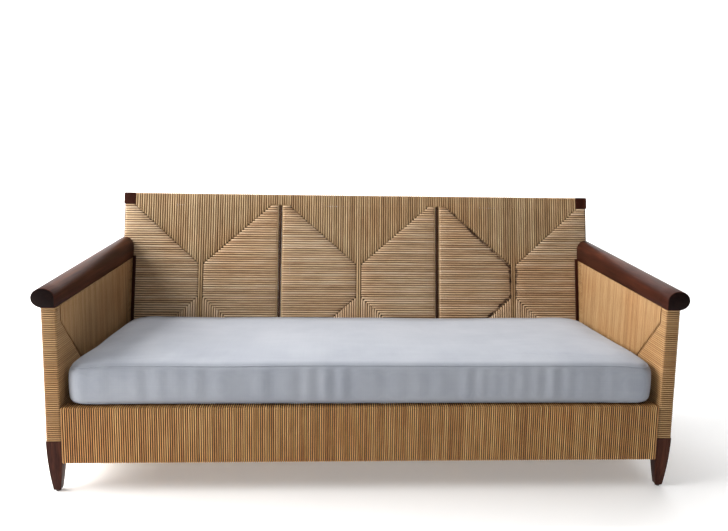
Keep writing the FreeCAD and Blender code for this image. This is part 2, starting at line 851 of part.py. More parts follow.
def cushion_points(inset):
    """Side outline of the cushion: it lies on the slats and leans on the back."""
    front = "(cushion_front + %s)" % inset
    low = "seat_height + cushion_lift + %s" % inset
    high = "seat_height + cushion_lift + cushion_height - %s" % inset
    across = "-(cushion_gap + %s)" % inset
    rear_low = "(%s / (1 + back_slope * seat_slope))" % back_line(across, low)
    rear_high = "(%s / (1 + back_slope * seat_slope))" % back_line(across, high)
    return [
        (front, "%s - seat_slope * %s" % (low, front)),
        (rear_low, "%s - seat_slope * %s" % (low, rear_low)),
        (rear_high, "%s - seat_slope * %s" % (high, rear_high)),
        (front, "%s - seat_slope * %s" % (high, front)),
    ]


cover_blank = pad("cushion_blank", "YZ_Plane", cushion_points("0"), "cushion_width")
place(cover_blank, -value("cushion_width / 2"), FRONT, 0)
core = pad("cushion_filling", "YZ_Plane", cushion_points("cover"), "cushion_width - cover * 2")
place(core, value("cover - cushion_width / 2"), FRONT, 0)
keep(core, "cushion_core")
keep(cut("cushion_cover", cover_blank, core), "cushion_cover")


# ---------------------------------------------------------------- checks and export

doc.recompute()
for item in doc.Objects:
    if "Invalid" in item.State or "Error" in item.State:
        raise RuntimeError("%s failed: %s" % (item.Label, item.State))
for label, item in nodes.items():
    shape = item.Shape
    if shape.isNull() or not shape.isValid() or not shape.Solids:
        raise RuntimeError("%s has no valid shape" % label)

os.makedirs("parts", exist_ok=True)
for label, item in nodes.items():
    item.Shape.exportStep(os.path.join("parts", label + ".step"))
    bounds = item.Shape.BoundBox
    print("%-26s solids %2d  volume %9.0f  z %6.1f %6.1f  y %6.1f %6.1f  x %7.1f %7.1f" % (
        label, len(item.Shape.Solids), item.Shape.Volume, bounds.ZMin, bounds.ZMax,
        bounds.YMin, bounds.YMax, bounds.XMin, bounds.XMax))
print("nodes", len(nodes))
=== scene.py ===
import math

import bpy
import numpy as np
from mathutils import Matrix, Vector


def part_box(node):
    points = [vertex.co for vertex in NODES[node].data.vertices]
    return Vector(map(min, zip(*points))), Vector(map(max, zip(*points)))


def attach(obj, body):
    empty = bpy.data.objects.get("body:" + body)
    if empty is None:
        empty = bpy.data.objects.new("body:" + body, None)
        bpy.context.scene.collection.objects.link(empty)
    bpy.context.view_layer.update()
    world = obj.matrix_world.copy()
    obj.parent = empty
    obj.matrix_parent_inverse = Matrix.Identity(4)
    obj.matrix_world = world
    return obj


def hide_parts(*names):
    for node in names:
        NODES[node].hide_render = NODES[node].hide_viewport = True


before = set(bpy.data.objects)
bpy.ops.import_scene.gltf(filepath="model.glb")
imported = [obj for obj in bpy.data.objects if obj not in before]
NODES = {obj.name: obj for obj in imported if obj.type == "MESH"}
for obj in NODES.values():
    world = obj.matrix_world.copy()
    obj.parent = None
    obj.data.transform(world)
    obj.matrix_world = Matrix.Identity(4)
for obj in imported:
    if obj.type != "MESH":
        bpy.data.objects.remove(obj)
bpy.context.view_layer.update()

# A cane-wrapped daybed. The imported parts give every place; this script wraps each woven
# part in real strands, turns the legs and handrails from smooth sections, fills the
# cushion by cloth simulation and gives every part its material.

SIDES = {"left": -1, "right": 1}

# ---------------------------------------------------------------- sizes

PANEL = 0.050  # thickness of the woven arms and back, and width of a leg
STRAND = 0.004  # height of a strand over the wood that it wraps
FINE_PITCH = 0.0071  # strand spacing on the front rail and the arms
BAND = 0.050  # height of the wraps along the back's top rail
BACK_LENGTH = 0.765  # height of the woven back along its slope
BACK_SLOPE = 0.208  # how far the back leans per unit of height
SEAT_SLOPE = 0.048  # how far the seat drops per unit of depth
ARM_RISE = 0.020  # how far a handrail's underside rises per unit of depth
CUSHION_HEIGHT = 0.135

LEAN = math.atan(BACK_SLOPE)
LEG_LOW, LEG_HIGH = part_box("front_leg_right")
FRONT = LEG_LOW.y
HALF = LEG_HIGH.x
INNER = HALF - PANEL
BAND_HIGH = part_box("weave_back_top")[1]
BACK_TOP = BAND_HIGH.z
BACK_EDGE = BAND_HIGH.y - PANEL * math.cos(LEAN)
RAIL_LOW, RAIL_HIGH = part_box("weave_front_rail")
HANDRAIL_LOW, HANDRAIL_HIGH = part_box("handrail_right")
FOOT_BASE = LEG_LOW.z
LEG_BARE = 0.178  # height of the bare part of a leg
REAR_LEG_FRONT = BACK_EDGE - (BACK_TOP - LEG_BARE) * BACK_SLOPE
WOVEN_BOTTOM = RAIL_LOW.z
COARSE_PITCH = INNER / 98  # strand spacing on the back: 98 strands each side of the middle

# the back's pattern, down its slope from the top and across from the middle
PATTERN_TOP = 0.055  # where the upper mitres start
UPPER_POINT = 0.320  # where they meet
LOWER_POINT = 0.445  # where the lower mitres start
PATTERN_BOTTOM = 0.710  # where they end
SPINE = 69 * COARSE_PITCH  # middle of an outer section
STILE_WRAP = 0.041  # level wraps over a stile beside a groove
GROOVE_LOW, GROOVE_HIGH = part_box("groove_strip_right")


def on_back(x, across, down):
    """A point of the back: across is into it, down is along its slope from the top."""
    y = BACK_EDGE + across * np.cos(LEAN) - down * np.sin(LEAN)
    z = BACK_TOP - across * np.sin(LEAN) - down * np.cos(LEAN)
    return np.stack(np.broadcast_arrays(x, y, z), axis=-1)


def turned_on_back(x, across, down):
    """A direction given in the back's own axes."""
    y = across * np.cos(LEAN) - down * np.sin(LEAN)
    z = -across * np.sin(LEAN) - down * np.cos(LEAN)
    return np.stack(np.broadcast_arrays(x, y, z), axis=-1)


def under_rail(y):
    """Height of a handrail's underside."""
    return HANDRAIL_LOW.z + ARM_RISE * (y - HANDRAIL_LOW.y)


def back_plane(z):
    """How far to the rear the back's front face is at a height."""
    return BACK_EDGE - (BACK_TOP - z) * BACK_SLOPE


def add_object(name, data):
    """A new object in the scene."""
    made = bpy.data.objects.new(name, data)
    bpy.context.scene.collection.objects.link(made)
    return made


def assemble(piece, body, node=None):
    """Put a piece on its body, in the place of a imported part."""
    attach(piece, body)
    if node:
        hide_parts(node)


# ---------------------------------------------------------------- materials


def shader(name, build, **sockets):
    """A node material. Sockets are set on its shader, and build adds the patterns."""
    material = bpy.data.materials.new(name)
    material.use_nodes = True
    tree = material.node_tree
    principled = tree.nodes["Principled BSDF"]
    for socket, value in sockets.items():
        principled.inputs[socket.replace("_", " ")].default_value = value
    build(Patterns(tree, principled))
    return material


class Patterns:
    """Short ways to wire one material's nodes."""

    def __init__(self, tree, principled):
        self.tree = tree
        self.principled = principled

    def node(self, kind, inputs=(), **settings):
        made = self.tree.nodes.new(kind)
        for key, value in settings.items():
            setattr(made, key, value)
        for key, value in dict(inputs).items():
            if isinstance(value, bpy.types.NodeSocket):
                self.tree.links.new(value, made.inputs[key])
            else:
                made.inputs[key].default_value = value
        return made

    def stretched(self, vector, scale):
        return self.node("ShaderNodeMapping", {"Vector": vector, "Scale": scale}).outputs["Vector"]

    def place(self, scale):
        """The part's own coordinates, stretched."""
        return self.stretched(self.node("ShaderNodeTexCoord").outputs["Object"], scale)

    def noise(self, vector, scale, detail, rough):
        inputs = {"Vector": vector, "Scale": scale, "Detail": detail, "Roughness": rough}
        return self.node("ShaderNodeTexNoise", inputs).outputs["Fac"]

    def math(self, operation, first, second=0.0):
        inputs = {0: first, 1: second}
        return self.node("ShaderNodeMath", inputs, operation=operation).outputs["Value"]

    def blend(self, values, shares):
        """The sum of several values, each by its share."""
        total = 0.0
        for value, share in zip(values, shares):
            total = self.math("ADD", self.math("MULTIPLY", value, share), total)
        return total

    def span(self, value, low, high):
        """Stretch a 0 to 1 value to another range."""
        inputs = {"Value": value, "To Min": low, "To Max": high}
        return self.node("ShaderNodeMapRange", inputs).outputs["Result"]

    def colours(self, value, stops):
        """A ramp through colours, each with its place on the ramp."""
        stops = list(stops)
        ramp = self.node("ShaderNodeValToRGB", {"Fac": value})
        elements = ramp.color_ramp.elements
        while len(elements) < len(stops):
            elements.new(0.5)
        for element, (position, colour) in zip(elements, stops):
            element.position = position
            element.color = (*colour, 1.0)
        return ramp.outputs["Color"]

    def vector(self, operation, first, second):
        return self.node("ShaderNodeVectorMath", {0: first, 1: second}, operation=operation).outputs

    def multiply(self, first, second):
        return self.vector("MULTIPLY", first, second)["Vector"]

    def nearest_line(self, lines):
        """How far a point is from the nearest of several straight lines."""
        found = 1.0
        for start, end in lines:
            way = end - start
            offset = self.vector("SUBTRACT", self.place(EVEN), start)["Vector"]
            share = self.vector("DOT_PRODUCT", offset, way / way.dot(way))["Value"]
            share = self.node("ShaderNodeClamp", {"Value": share}).outputs["Result"]
            along = self.multiply(way, share)
            found = self.math("MINIMUM", found, self.vector("DISTANCE", offset, along)["Value"])
        return found

    def surface(self, colour, rough, bumps, height, strength):
        """Give the shader its colour, roughness and bumps of a height."""
        inputs = {"Height": bumps, "Distance": height, "Strength": strength}
        bumps = self.node("ShaderNodeBump", inputs).outputs["Normal"]
        for socket, value in (("Base Color", colour), ("Roughness", rough), ("Normal", bumps)):
            self.tree.links.new(value, self.principled.inputs[socket])


EVEN = (1.0, 1.0, 1.0)  # a pattern that isn't stretched
WHITE = (1.0, 1.0, 1.0)

FIBRES = (9.0, 9.0, 31.0)  # scales round a strand, along it and from strand to strand
PATCHES = (0.3, 9.0, 17.0)  # the same for longer patches of colour
CANE_SHARES = (0.20, 0.32, 0.32)  # what shade, fibre and patch add to a strand's tone
CANE_STOPS = (0.29, 0.42, 0.57)  # tones of the dark, middle and light colours
CANE_GLOSS = (0.48, 0.66)
STAIN = (0.97, 0.88, 0.80)  # darkest tint of the wide stains
STAIN_SCALE = 3.1
STAIN_STOPS = (0.34, 0.54)
# tint of the painted shade between strands
CREVICE_SHADE_TINT = (1.0, 0.8, 0.6)

DARK_LINE_TINT = (0.13, 0.09, 0.07)  # tint along a darkened line
DARK_LINE_SCALE = 34.0
DARK_LINE_REACH = 0.034  # how raggedly it ends
DARK_LINE_STOPS = (0.0155, 0.0225)
SPINE_HALF = 1.4 * COARSE_PITCH  # from the spine's middle to the ends of the level strands


def darkened_lines():
    """Lines on the back's right section along which the cane's colour is darkened: along the upper mitre
    towards the middle, down both sides of the spine and along the lower mitre."""
    low, high, corner = SPINE - SPINE_HALF, SPINE + SPINE_HALF, GROOVE_HIGH.x + STILE_WRAP
    lines = [
        ((corner, PATTERN_TOP), (low, UPPER_POINT)),
        ((low, UPPER_POINT), (low, LOWER_POINT)),
        ((high, UPPER_POINT), (high, LOWER_POINT)),
        ((low, LOWER_POINT), (corner, PATTERN_BOTTOM)),
    ]
    return [[on_back(x, 0.0, down) for x, down in line] for line in lines]


def cane(name, dark, middle, light, crevice_shade, gap=(0.13, 0.36), darkened_along=()):
    """Cane strands: each its own tone, with fibres along it. The colour falls to a painted shade over
    the gap, a span out from a strand's crown, standing in for the shade between strands, and is darkened in
    patches along the given lines."""
    def build(make):
        strand = make.node("ShaderNodeAttribute", attribute_name="cane").outputs["Vector"]
        parts = make.node("ShaderNodeSeparateXYZ", {"Vector": strand}).outputs
        shade = make.node("ShaderNodeTexWhiteNoise", {"W": parts["Z"]}, noise_dimensions="1D")
        fibre = make.noise(make.stretched(strand, FIBRES), 1.0, detail=6.0, rough=0.7)
        patch = make.noise(make.stretched(strand, PATCHES), 1.0, detail=3.0, rough=0.6)
        tone = make.blend((shade.outputs["Value"], fibre, patch), CANE_SHARES)
        colour = make.colours(tone, zip(CANE_STOPS, (dark, middle, light)))
        # Painted shade between strands: the colour falls towards each strand's edges.
        side = make.math("ABSOLUTE", make.math("SUBTRACT", parts["X"], 0.5))
        shade_tint = [crevice_shade * share for share in CREVICE_SHADE_TINT]
        colour = make.multiply(colour, make.colours(side, zip(gap, (WHITE, shade_tint))))
        wide = make.noise(make.place(EVEN), STAIN_SCALE, detail=3.0, rough=0.5)
        stain = make.colours(wide, zip(STAIN_STOPS, (STAIN, WHITE)))
        colour = make.multiply(colour, stain)
        # The colour is darkened in ragged patches along the given lines.
        if darkened_along:
            ragged = make.noise(make.place(EVEN), DARK_LINE_SCALE, detail=3.0, rough=0.6)
            away = make.blend((make.nearest_line(darkened_along), ragged), (1.0, DARK_LINE_REACH))
            colour = make.multiply(colour, make.colours(away, zip(DARK_LINE_STOPS, (DARK_LINE_TINT, WHITE))))
        make.surface(colour, make.span(fibre, *CANE_GLOSS), fibre, height=0.0006, strength=0.8)
    return shader(name, build, Specular_IOR_Level=0.32)


FIGURE = (26.0, 1.5)  # scales of wood's figure across and along the grain
PORES = (420.0, 11.0)  # and of its pores
CLOUDS = 5.0  # scale of its wide unevenness
WOOD_SHARES = (0.62, 0.23, 0.20)  # what figure, pores and clouds add to the tone
WOOD_STOPS = (0.36, 0.53, 0.70)


def along_grain(axis, scales, size):
    """Scales on three axes, the second of the pair along the grain."""
    across, along = scales
    return [size * (along if number == axis else across) for number in range(3)]


def wood(name, axis, dark, middle, light, size=1.0, gloss=(0.32, 0.48), coat=0.0):
    """Wood with its grain along one axis: 0, 1 or 2."""
    def build(make):
        figure = make.noise(make.place(along_grain(axis, FIGURE, size)), 1.0, detail=5.0, rough=0.62)
        pore = make.noise(make.place(along_grain(axis, PORES, size)), 1.0, detail=2.0, rough=0.6)
        cloud = make.noise(make.place(EVEN), CLOUDS, detail=2.0, rough=0.5)
        tone = make.blend((figure, pore, cloud), WOOD_SHARES)
        colour = make.colours(tone, zip(WOOD_STOPS, (dark, middle, light)))
        make.surface(colour, make.span(figure, *gloss), pore, height=0.0004, strength=0.5)
    return shader(name, build, Coat_Weight=coat, Coat_Roughness=0.30, Specular_IOR_Level=0.08)


THREADS = (2.0, 900.0)  # scales of a cotton thread along and across it
COTTON_CLOUDS = 6.0
COTTON_SHARES = (0.45, 0.55)
COTTON_STOPS = (0.35, 0.62)
COTTON_ROUGH = (0.82, 0.97)


def cotton(name, dark, light):
    """Plain-woven cotton: crossing threads, slubs and a faint unevenness."""
    def build(make):
        places = [make.place(along_grain(axis, THREADS, 1.0)) for axis in range(3)]
        threads = [make.noise(place, 1.0, detail=1.0, rough=0.5) for place in places]
        weave = make.blend(threads, [1 / 3] * 3)
        cloud = make.noise(make.place(EVEN), COTTON_CLOUDS, detail=4.0, rough=0.6)
        tone = make.blend((weave, cloud), COTTON_SHARES)
        colour = make.colours(tone, zip(COTTON_STOPS, (dark, light)))
        make.surface(colour, make.span(weave, *COTTON_ROUGH), weave, height=0.0007, strength=0.6)
    return shader(name, build, Sheen_Weight=0.18, Sheen_Roughness=0.5, Specular_IOR_Level=0.2)


SPECK_STOPS = (0.32, 0.68)


def speckled(name, dark, light, scale, rough, height, metallic=0.0):
    """A plain stuff with fine unevenness: steel, nylon, fibre, foam or paper."""
    def build(make):
        grain = make.noise(make.place(EVEN), scale, detail=5.0, rough=0.65)
        colour = make.colours(grain, zip(SPECK_STOPS, (dark, light)))
        make.surface(colour, make.span(grain, *rough), grain, height, strength=0.7)
    return shader(name, build, Metallic=metallic)


MAHOGANY = ((0.012, 0.0030, 0.0018), (0.038, 0.0095, 0.0050), (0.100, 0.030, 0.0140))
HARDWOOD = ((0.26, 0.15, 0.07), (0.42, 0.27, 0.14), (0.56, 0.39, 0.22))
GROOVE = ((0.020, 0.008, 0.004), (0.052, 0.023, 0.011), (0.105, 0.050, 0.025))
MATERIALS = {
    "rail_wood": wood("mahogany_along_y", 1, *MAHOGANY, coat=0.05),
    "leg_wood": wood("mahogany_along_z", 2, *MAHOGANY),
    "end_grain": wood("mahogany_end_grain", 1, (0.003, 0.001, 0.001), (0.007, 0.002, 0.0015),
                      (0.014, 0.005, 0.003), size=1.6, gloss=(0.42, 0.60)),
    # For each cane, the number after its colours sets how dark the painted shade between its strands is.
    "cane_apron": cane("cane_front_rail", (0.400, 0.170, 0.046), (0.660, 0.336, 0.112),
                       (0.890, 0.535, 0.215), crevice_shade=0.015, gap=(0.03, 0.26)),
    "cane_arm": cane("cane_arms", (0.325, 0.182, 0.076), (0.410, 0.245, 0.108), (0.490, 0.310, 0.147),
                     crevice_shade=0.45),
    "cane_back": cane("cane_back", (0.446, 0.283, 0.161), (0.662, 0.460, 0.280), (0.803, 0.616, 0.433),
                      crevice_shade=0.35, darkened_along=darkened_lines()),
    "cane_back_top": cane("cane_back_top", (0.312, 0.184, 0.086), (0.480, 0.317, 0.162),
                          (0.666, 0.486, 0.286), crevice_shade=0.35, darkened_along=darkened_lines()),
    "groove_wood": wood("stained_strip", 2, *GROOVE),
    "hidden_x": wood("hardwood_along_x", 0, *HARDWOOD),
    "hidden_y": wood("hardwood_along_y", 1, *HARDWOOD),
    "hidden_z": wood("hardwood_along_z", 2, *HARDWOOD),
    "slats": wood("slat_pine", 1, (0.44, 0.28, 0.13), (0.62, 0.43, 0.23), (0.74, 0.56, 0.34),
                  gloss=(0.5, 0.7)),
    "stuffing": speckled("packed_fibre", (0.06, 0.04, 0.02), (0.30, 0.21, 0.12), 160.0, (0.85, 1.0), 0.002),
    "floor": speckled("studio_paper", (0.90, 0.90, 0.90), (0.93, 0.93, 0.93), 3.0, (0.8, 0.9), 0.0001),
    "steel": speckled("zinc_plated_steel", (0.38, 0.38, 0.40), (0.62, 0.62, 0.63), 240.0, (0.25, 0.45),
                      0.0001, metallic=1.0),
    "nylon": speckled("glide_nylon", (0.035, 0.032, 0.030), (0.060, 0.055, 0.050), 300.0, (0.5, 0.7), 0.0002),
    "foam": speckled("cushion_foam", (0.70, 0.66, 0.50), (0.86, 0.82, 0.66), 500.0, (0.9, 1.0), 0.001),
    "cotton": cotton("cushion_cotton", (0.280, 0.300, 0.346), (0.342, 0.360, 0.402)),
}

# ---------------------------------------------------------------- strands


RUN_STEP = 0.05  # longest piece of a straight run
ARC_TURNS = 3  # pieces of a rounded corner


def rounded_path(corners, radii, closed):
    """Points and outward normals along a path in a plane that goes round its shape
    anticlockwise, with an arc at each corner."""
    corners, radii = np.array(corners, float), np.array(radii, float)
    count = len(corners)
    ways = np.roll(corners, -1, axis=0) - corners
    lengths = np.linalg.norm(ways, axis=1)
    ways /= lengths[:, None]
    outward = np.column_stack([ways[:, 1], -ways[:, 0]])
    turns = np.arccos(np.clip(np.sum(np.roll(ways, 1, axis=0) * ways, axis=1), -1.0, 1.0))
    reach = radii * np.tan(turns / 2)
    points, normals = [], []
    for index, corner in enumerate(corners):
        if closed or 0 < index < count - 1:
            centre = corner - ways[index - 1] * reach[index] - outward[index - 1] * radii[index]
            for share in np.linspace(0.0, 1.0, ARC_TURNS + 1):
                normal = outward[index - 1] * (1 - share) + outward[index] * share
                normal /= np.linalg.norm(normal)
                points.append(centre + normal * radii[index])
                normals.append(normal)
        else:
            points.append(corner)
            normals.append(outward[max(index - 1, 0)])
        if closed or index < count - 1:
            run = ways[index] * (lengths[index] - reach[index] - reach[(index + 1) % count])
            cuts = max(1, int(round(np.linalg.norm(run) / RUN_STEP)))
            for cut in range(1, cuts):
                points.append(corner + ways[index] * reach[index] + run * cut / cuts)
                normals.append(outward[index])
    return np.array(points), np.array(normals)


DIP_LENGTH = 0.008  # how far from its end a strand starts to sink into a mitre
DIP_DEPTH = 0.0036
DIP_ROOM = 1.5 * DIP_LENGTH  # a shorter run sinks as a whole


def add_dips(points, normals):
    """Sink both ends of an open path into the weave, as where a strand turns the mitre."""
    for _ in range(2):
        way = points[0] - points[1]
        distance = np.linalg.norm(way)
        if distance > DIP_ROOM:
            points = np.insert(points, 1, points[0] - way / distance * DIP_LENGTH, axis=0)
            normals = np.insert(normals, 1, normals[0], axis=0)
        points[0] -= normals[0] * DIP_DEPTH
        points, normals = points[::-1], normals[::-1]
    return points, normals


def open_path(corners, radius):
    """A path with rounded inner corners and both ends sunk into the mitre."""
    radii = [0.0] + [radius] * (len(corners) - 2) + [0.0]
    return add_dips(*rounded_path(corners, radii, False))


def between_rings(count, size, closed=False):
    """The squares between rings of points that are numbered one ring after another."""
    row = np.arange(count if closed else count - 1)[:, None]
    base, above = row * size, (row + 1) % count * size
    column = np.arange(size)[None, :]
    after = (column + 1) % size
    corners = [base + column, base + after, above + after, above + column]
    return np.stack(corners, axis=-1).reshape(-1, 4)


def closed_path(corners, radius):
    """A path round a whole section."""
    return rounded_path(corners, [radius] * len(corners), True)


class Weave:
    """Collects the strands of one woven part into one mesh."""

    ARC = 6  # faces over a strand's round side
    WIDTHS = (0.91, 0.97)  # strands' widths, as parts of their spacing
    HEIGHTS = (0.92, 1.0)
    STRAY = 0.02  # how far a strand strays sideways, as a part of its width
    SWAYS = (1, 4)  # how many times it sways over its length: from, and below
    MARK_START, MARK_STEP = 0.3, 0.37  # for the numbers that give strands their own shades

    def __init__(self, seed):
        self.random = np.random.RandomState(seed)
        self.points = []
        self.faces = []
        self.flat = []
        self.marks = []
        self.size = 0

    def strand(self, points, normals, across, width, closed=False):
        """One half-round strand. Points lie on what it wraps, and across is its width's way."""
        random = self.random
        count = len(points)
        width = width * random.uniform(*self.WIDTHS)
        height = STRAND * random.uniform(*self.HEIGHTS)
        steps = np.linalg.norm(np.diff(points, axis=0), axis=1)
        along = np.concatenate([[0.0], np.cumsum(steps)])
        wave = along / along[-1] * 2 * math.pi
        sway = np.sin(wave * random.randint(*self.SWAYS) + random.uniform(0, 2 * math.pi))
        shift = random.uniform(-1.0, 1.0)
        points = points + across * (self.STRAY * width * (sway + shift))[:, None]
        angles = np.linspace(0.0, math.pi, self.ARC + 1)
        side = across[None, None, :] * (np.cos(angles) * width / 2)[None, :, None]
        rise = normals[:, None, :] * (np.sin(angles) * height)[None, :, None]
        ring = points[:, None, :] + side + rise
        ring_size = self.ARC + 1
        turn = np.linspace(0.0, 1.0, ring_size)[None, :]
        shade = (len(self.points) + self.MARK_START) * self.MARK_STEP
        mark = np.broadcast_arrays(turn, along[:, None], shade)
        self.points.append(ring.reshape(-1, 3))
        self.marks.append(np.stack(mark, axis=-1).reshape(-1, 3))
        way = points[1] - points[0]
        inside_out = float(np.cross(across, normals[0]) @ way) < 0
        quads = between_rings(count, ring_size, closed) + self.size
        if inside_out:
            quads = quads[:, ::-1]
        self.faces.extend(quads.tolist())
        self.flat.extend(([False] * self.ARC + [True]) * (len(quads) // ring_size))
        if not closed:
            first = (np.arange(ring_size) + self.size).tolist()
            last = [corner + (count - 1) * ring_size for corner in first]
            self.faces.extend([first, last[::-1]] if inside_out else [first[::-1], last])
            self.flat.extend([True, True])
        self.size += count * ring_size

    def wrap(self, axis, place, path, width, closed=False):
        """A strand along a path that lies across one axis, at a place on it."""
        points, normals = (np.insert(flat, axis, value, axis=1) for flat, value in zip(path, (place, 0.0)))
        self.strand(points, normals, AXES[axis], width, closed=closed)

    def finish(self, name, material, node, slot=None):
        """Turn the strands into one piece on the frame."""
        mesh = bpy.data.meshes.new(name)
        mesh.from_pydata(np.concatenate(self.points).tolist(), [], self.faces)
        mesh.polygons.foreach_set("use_smooth", [not flat for flat in self.flat])
        attribute = mesh.attributes.new("cane", "FLOAT_VECTOR", "POINT")
        attribute.data.foreach_set("vector", np.concatenate(self.marks).astype(np.float32).ravel())
        mesh.update()
        mesh.materials.append(MATERIALS[material])
        assemble(add_object(name, mesh), "frame", node)


def spaced(low, high, pitch):
    """Middles of the strands that fill a stretch, and their exact spacing."""
    count = max(1, int(round((high - low) / pitch)))
    step = (high - low) / count
    return low + step * (np.arange(count) + 0.5), step


AXES = np.eye(3)
BACK_DOWN = turned_on_back(0.0, 0.0, 1.0)
TIGHT = 0.001  # radii that the strands turn through: over hidden edges,
TURN = 0.002  # over the edges of posts and of the back,
FRONT_ROUND = 0.0035  # over the front rail's front edges
STILE_ROUND = 0.012  # and over the stiles beside a groove

# ---- front rail


def weave_front_rail():
    """Upright wraps round the whole front rail, over its rounded front edges."""
    weave = Weave(seed=11)
    low_y, low_z = RAIL_LOW.y + STRAND, RAIL_LOW.z + STRAND
    high_y, high_z = RAIL_HIGH.y - STRAND, RAIL_HIGH.z - STRAND
    corners = [(low_y, high_z), (low_y, low_z), (high_y, low_z), (high_y, high_z)]
    path = rounded_path(corners, [FRONT_ROUND] * 2 + [TIGHT] * 2, True)
    middles, step = spaced(RAIL_LOW.x, RAIL_HIGH.x, FINE_PITCH)
    for x in middles:
        weave.wrap(0, x, path, step, closed=True)
    weave.finish("front_rail_cane", "cane_apron", "weave_front_rail")


# ---- arms

MITRE_EDGE = 0.040  # the post's own wraps end this far from its front
MITRE_TOP = 0.565  # height where the upper mitre starts
MITRE_LOW = 0.159  # height where the lower mitre ends
MITRE_SLOPE = 1.12  # fall of the mitre per unit of depth
MITRE_POINT = (MITRE_TOP + MITRE_LOW) / 2
MITRE_DEPTH = MITRE_EDGE + (MITRE_TOP - MITRE_POINT) / MITRE_SLOPE
REAR_STRIP = 0.048  # width of the level wraps at an arm's rear end


def mitre_reach(z):
    """How far back the level wraps of the post reach at a height."""
    distance = min(MITRE_TOP - z, z - MITRE_LOW)
    return FRONT + MITRE_EDGE + max(0.0, distance) / MITRE_SLOPE


def arm_upright(weave, left, right, y, step):
    """The upright strands at one distance from the front, on both faces of an arm."""
    reach = y - FRONT
    top = under_rail(y) - STRAND
    bottom = WOVEN_BOTTOM + STRAND
    drop = (reach - MITRE_EDGE) * MITRE_SLOPE
    strip = LEG_BARE + (y + REAR_STRIP - back_plane(LEG_BARE)) / BACK_SLOPE
    if reach > MITRE_DEPTH and strip < WOVEN_BOTTOM:
        corners = [(left, top), (left, bottom), (right, bottom), (right, top)]
        weave.wrap(1, y, closed_path(corners, TIGHT), step, closed=True)
        return
    end = max(MITRE_TOP - drop if reach < MITRE_DEPTH else 0.0, strip)
    corners = [(right, end), (right, top), (left, top), (left, end)]
    weave.wrap(1, y, open_path(corners, TIGHT), step)
    if PANEL < reach < MITRE_DEPTH:
        end = MITRE_LOW + drop
        corners = [(left, end), (left, bottom), (right, bottom), (right, end)]
        weave.wrap(1, y, open_path(corners, TIGHT), step)


def weave_arm(side, sign):
    """Level wraps round the post that run into a mitre, upright wraps over the rest,
    and a strip of level wraps round the rear end."""
    weave = Weave(seed=23 + sign)
    low_x = (-HALF if sign < 0 else INNER) + STRAND
    high_x = (-INNER if sign < 0 else HALF) - STRAND
    front = FRONT + STRAND

    rows, step = spaced(LEG_BARE, under_rail(FRONT), FINE_PITCH)
    for z in rows:
        reach = mitre_reach(z)
        corners = [(low_x, reach), (low_x, front), (high_x, front), (high_x, reach)]
        weave.wrap(2, z, open_path(corners, TURN), step)

    last = back_plane(under_rail(BACK_EDGE)) - REAR_STRIP
    columns, step = spaced(FRONT + MITRE_EDGE, last, FINE_PITCH)
    for y in columns:
        arm_upright(weave, low_x, high_x, y, step)

    rows, step = spaced(WOVEN_BOTTOM, under_rail(back_plane(MITRE_TOP)), FINE_PITCH)
    for z in rows:
        end = back_plane(max(z, LEG_BARE))
        rear, start = end - STRAND, end - REAR_STRIP
        corners = [(high_x, start), (high_x, rear), (low_x, rear), (low_x, start)]
        weave.wrap(2, z, open_path(corners, TURN), step)
    weave.finish("arm_cane_" + side, "cane_arm", "weave_arm_" + side)


# ---- back

SECTIONS = {
    # name: outer edges of the wraps, corners of the pattern, and its middle
    "left": (-HALF, -GROOVE_HIGH.x, -INNER, -GROOVE_HIGH.x - STILE_WRAP, -SPINE),
    "centre": (-GROOVE_LOW.x, GROOVE_LOW.x, -GROOVE_LOW.x + STILE_WRAP, GROOVE_LOW.x - STILE_WRAP, 0.0),
    "right": (GROOVE_HIGH.x, HALF, GROOVE_HIGH.x + STILE_WRAP, INNER, SPINE),
}


def pattern_depth(x, low, high, middle):
    """How far past their start the upright strands reach at an x: none outside the pattern."""
    return float(np.interp(x, (low, middle, high), (0.0, UPPER_POINT - PATTERN_TOP, 0.0)))


def pattern_edge(down, corner, middle):
    """Where the level strands end at a distance down the slope, on one side."""
    stops = (PATTERN_TOP, UPPER_POINT, LOWER_POINT, PATTERN_BOTTOM)
    edge = corner + (middle - corner) * float(np.interp(down, stops, (0.0, 1.0, 1.0, 0.0)))
    if corner < middle:
        return min(edge, middle - COARSE_PITCH)
    return max(edge, middle + COARSE_PITCH)


def upright_strand(weave, x, path, step, closed=False):
    """A strand on the back at an x. Its path goes across and up."""
    (across, up), (out_across, out_up) = (flat.T for flat in path)
    points = on_back(x, across, BACK_LENGTH - up)
    weave.strand(points, turned_on_back(0.0, out_across, -out_up), AXES[0], step, closed=closed)


def level_strand(weave, down, corners, step):
    """A strand on the back at a distance down its slope. Its path goes over x and across."""
    (x, across), (out_x, out_across) = (flat.T for flat in open_path(corners, STILE_ROUND))
    points = on_back(x, across, down)
    weave.strand(points, turned_on_back(out_x, out_across, 0.0), BACK_DOWN, step)


def section_at(x):
    """The section that an upright strand belongs to, or None over a groove."""
    for name, (low_edge, high_edge, *pattern) in SECTIONS.items():
        if low_edge < x < high_edge:
            return name
    return None


def upright_strands(x, step, band, sections):
    """The strands over the back at one x: the band's, and below it the lower mitre's."""
    front, rear = STRAND, PANEL - STRAND
    top = BACK_LENGTH - STRAND
    name = section_at(x)
    pattern = SECTIONS[name][2:] if name else None
    if name and abs(x - pattern[-1]) < COARSE_PITCH:
        corners = [(front, top), (front, STRAND), (rear, STRAND), (rear, top)]
        upright_strand(band, x, closed_path(corners, TURN), step, closed=True)
        return
    depth = pattern_depth(x, *pattern) if name else 0.0
    end = BACK_LENGTH - (PATTERN_TOP + depth if depth else BAND)
    corners = [(rear, end), (rear, top), (front, top), (front, end)]
    upright_strand(band, x, open_path(corners, TURN), step)
    if name:
        end = BACK_LENGTH - (PATTERN_BOTTOM - depth)
        corners = [(front, end), (front, STRAND), (rear, STRAND), (rear, end)]
        upright_strand(sections[name], x, open_path(corners, TURN), step)


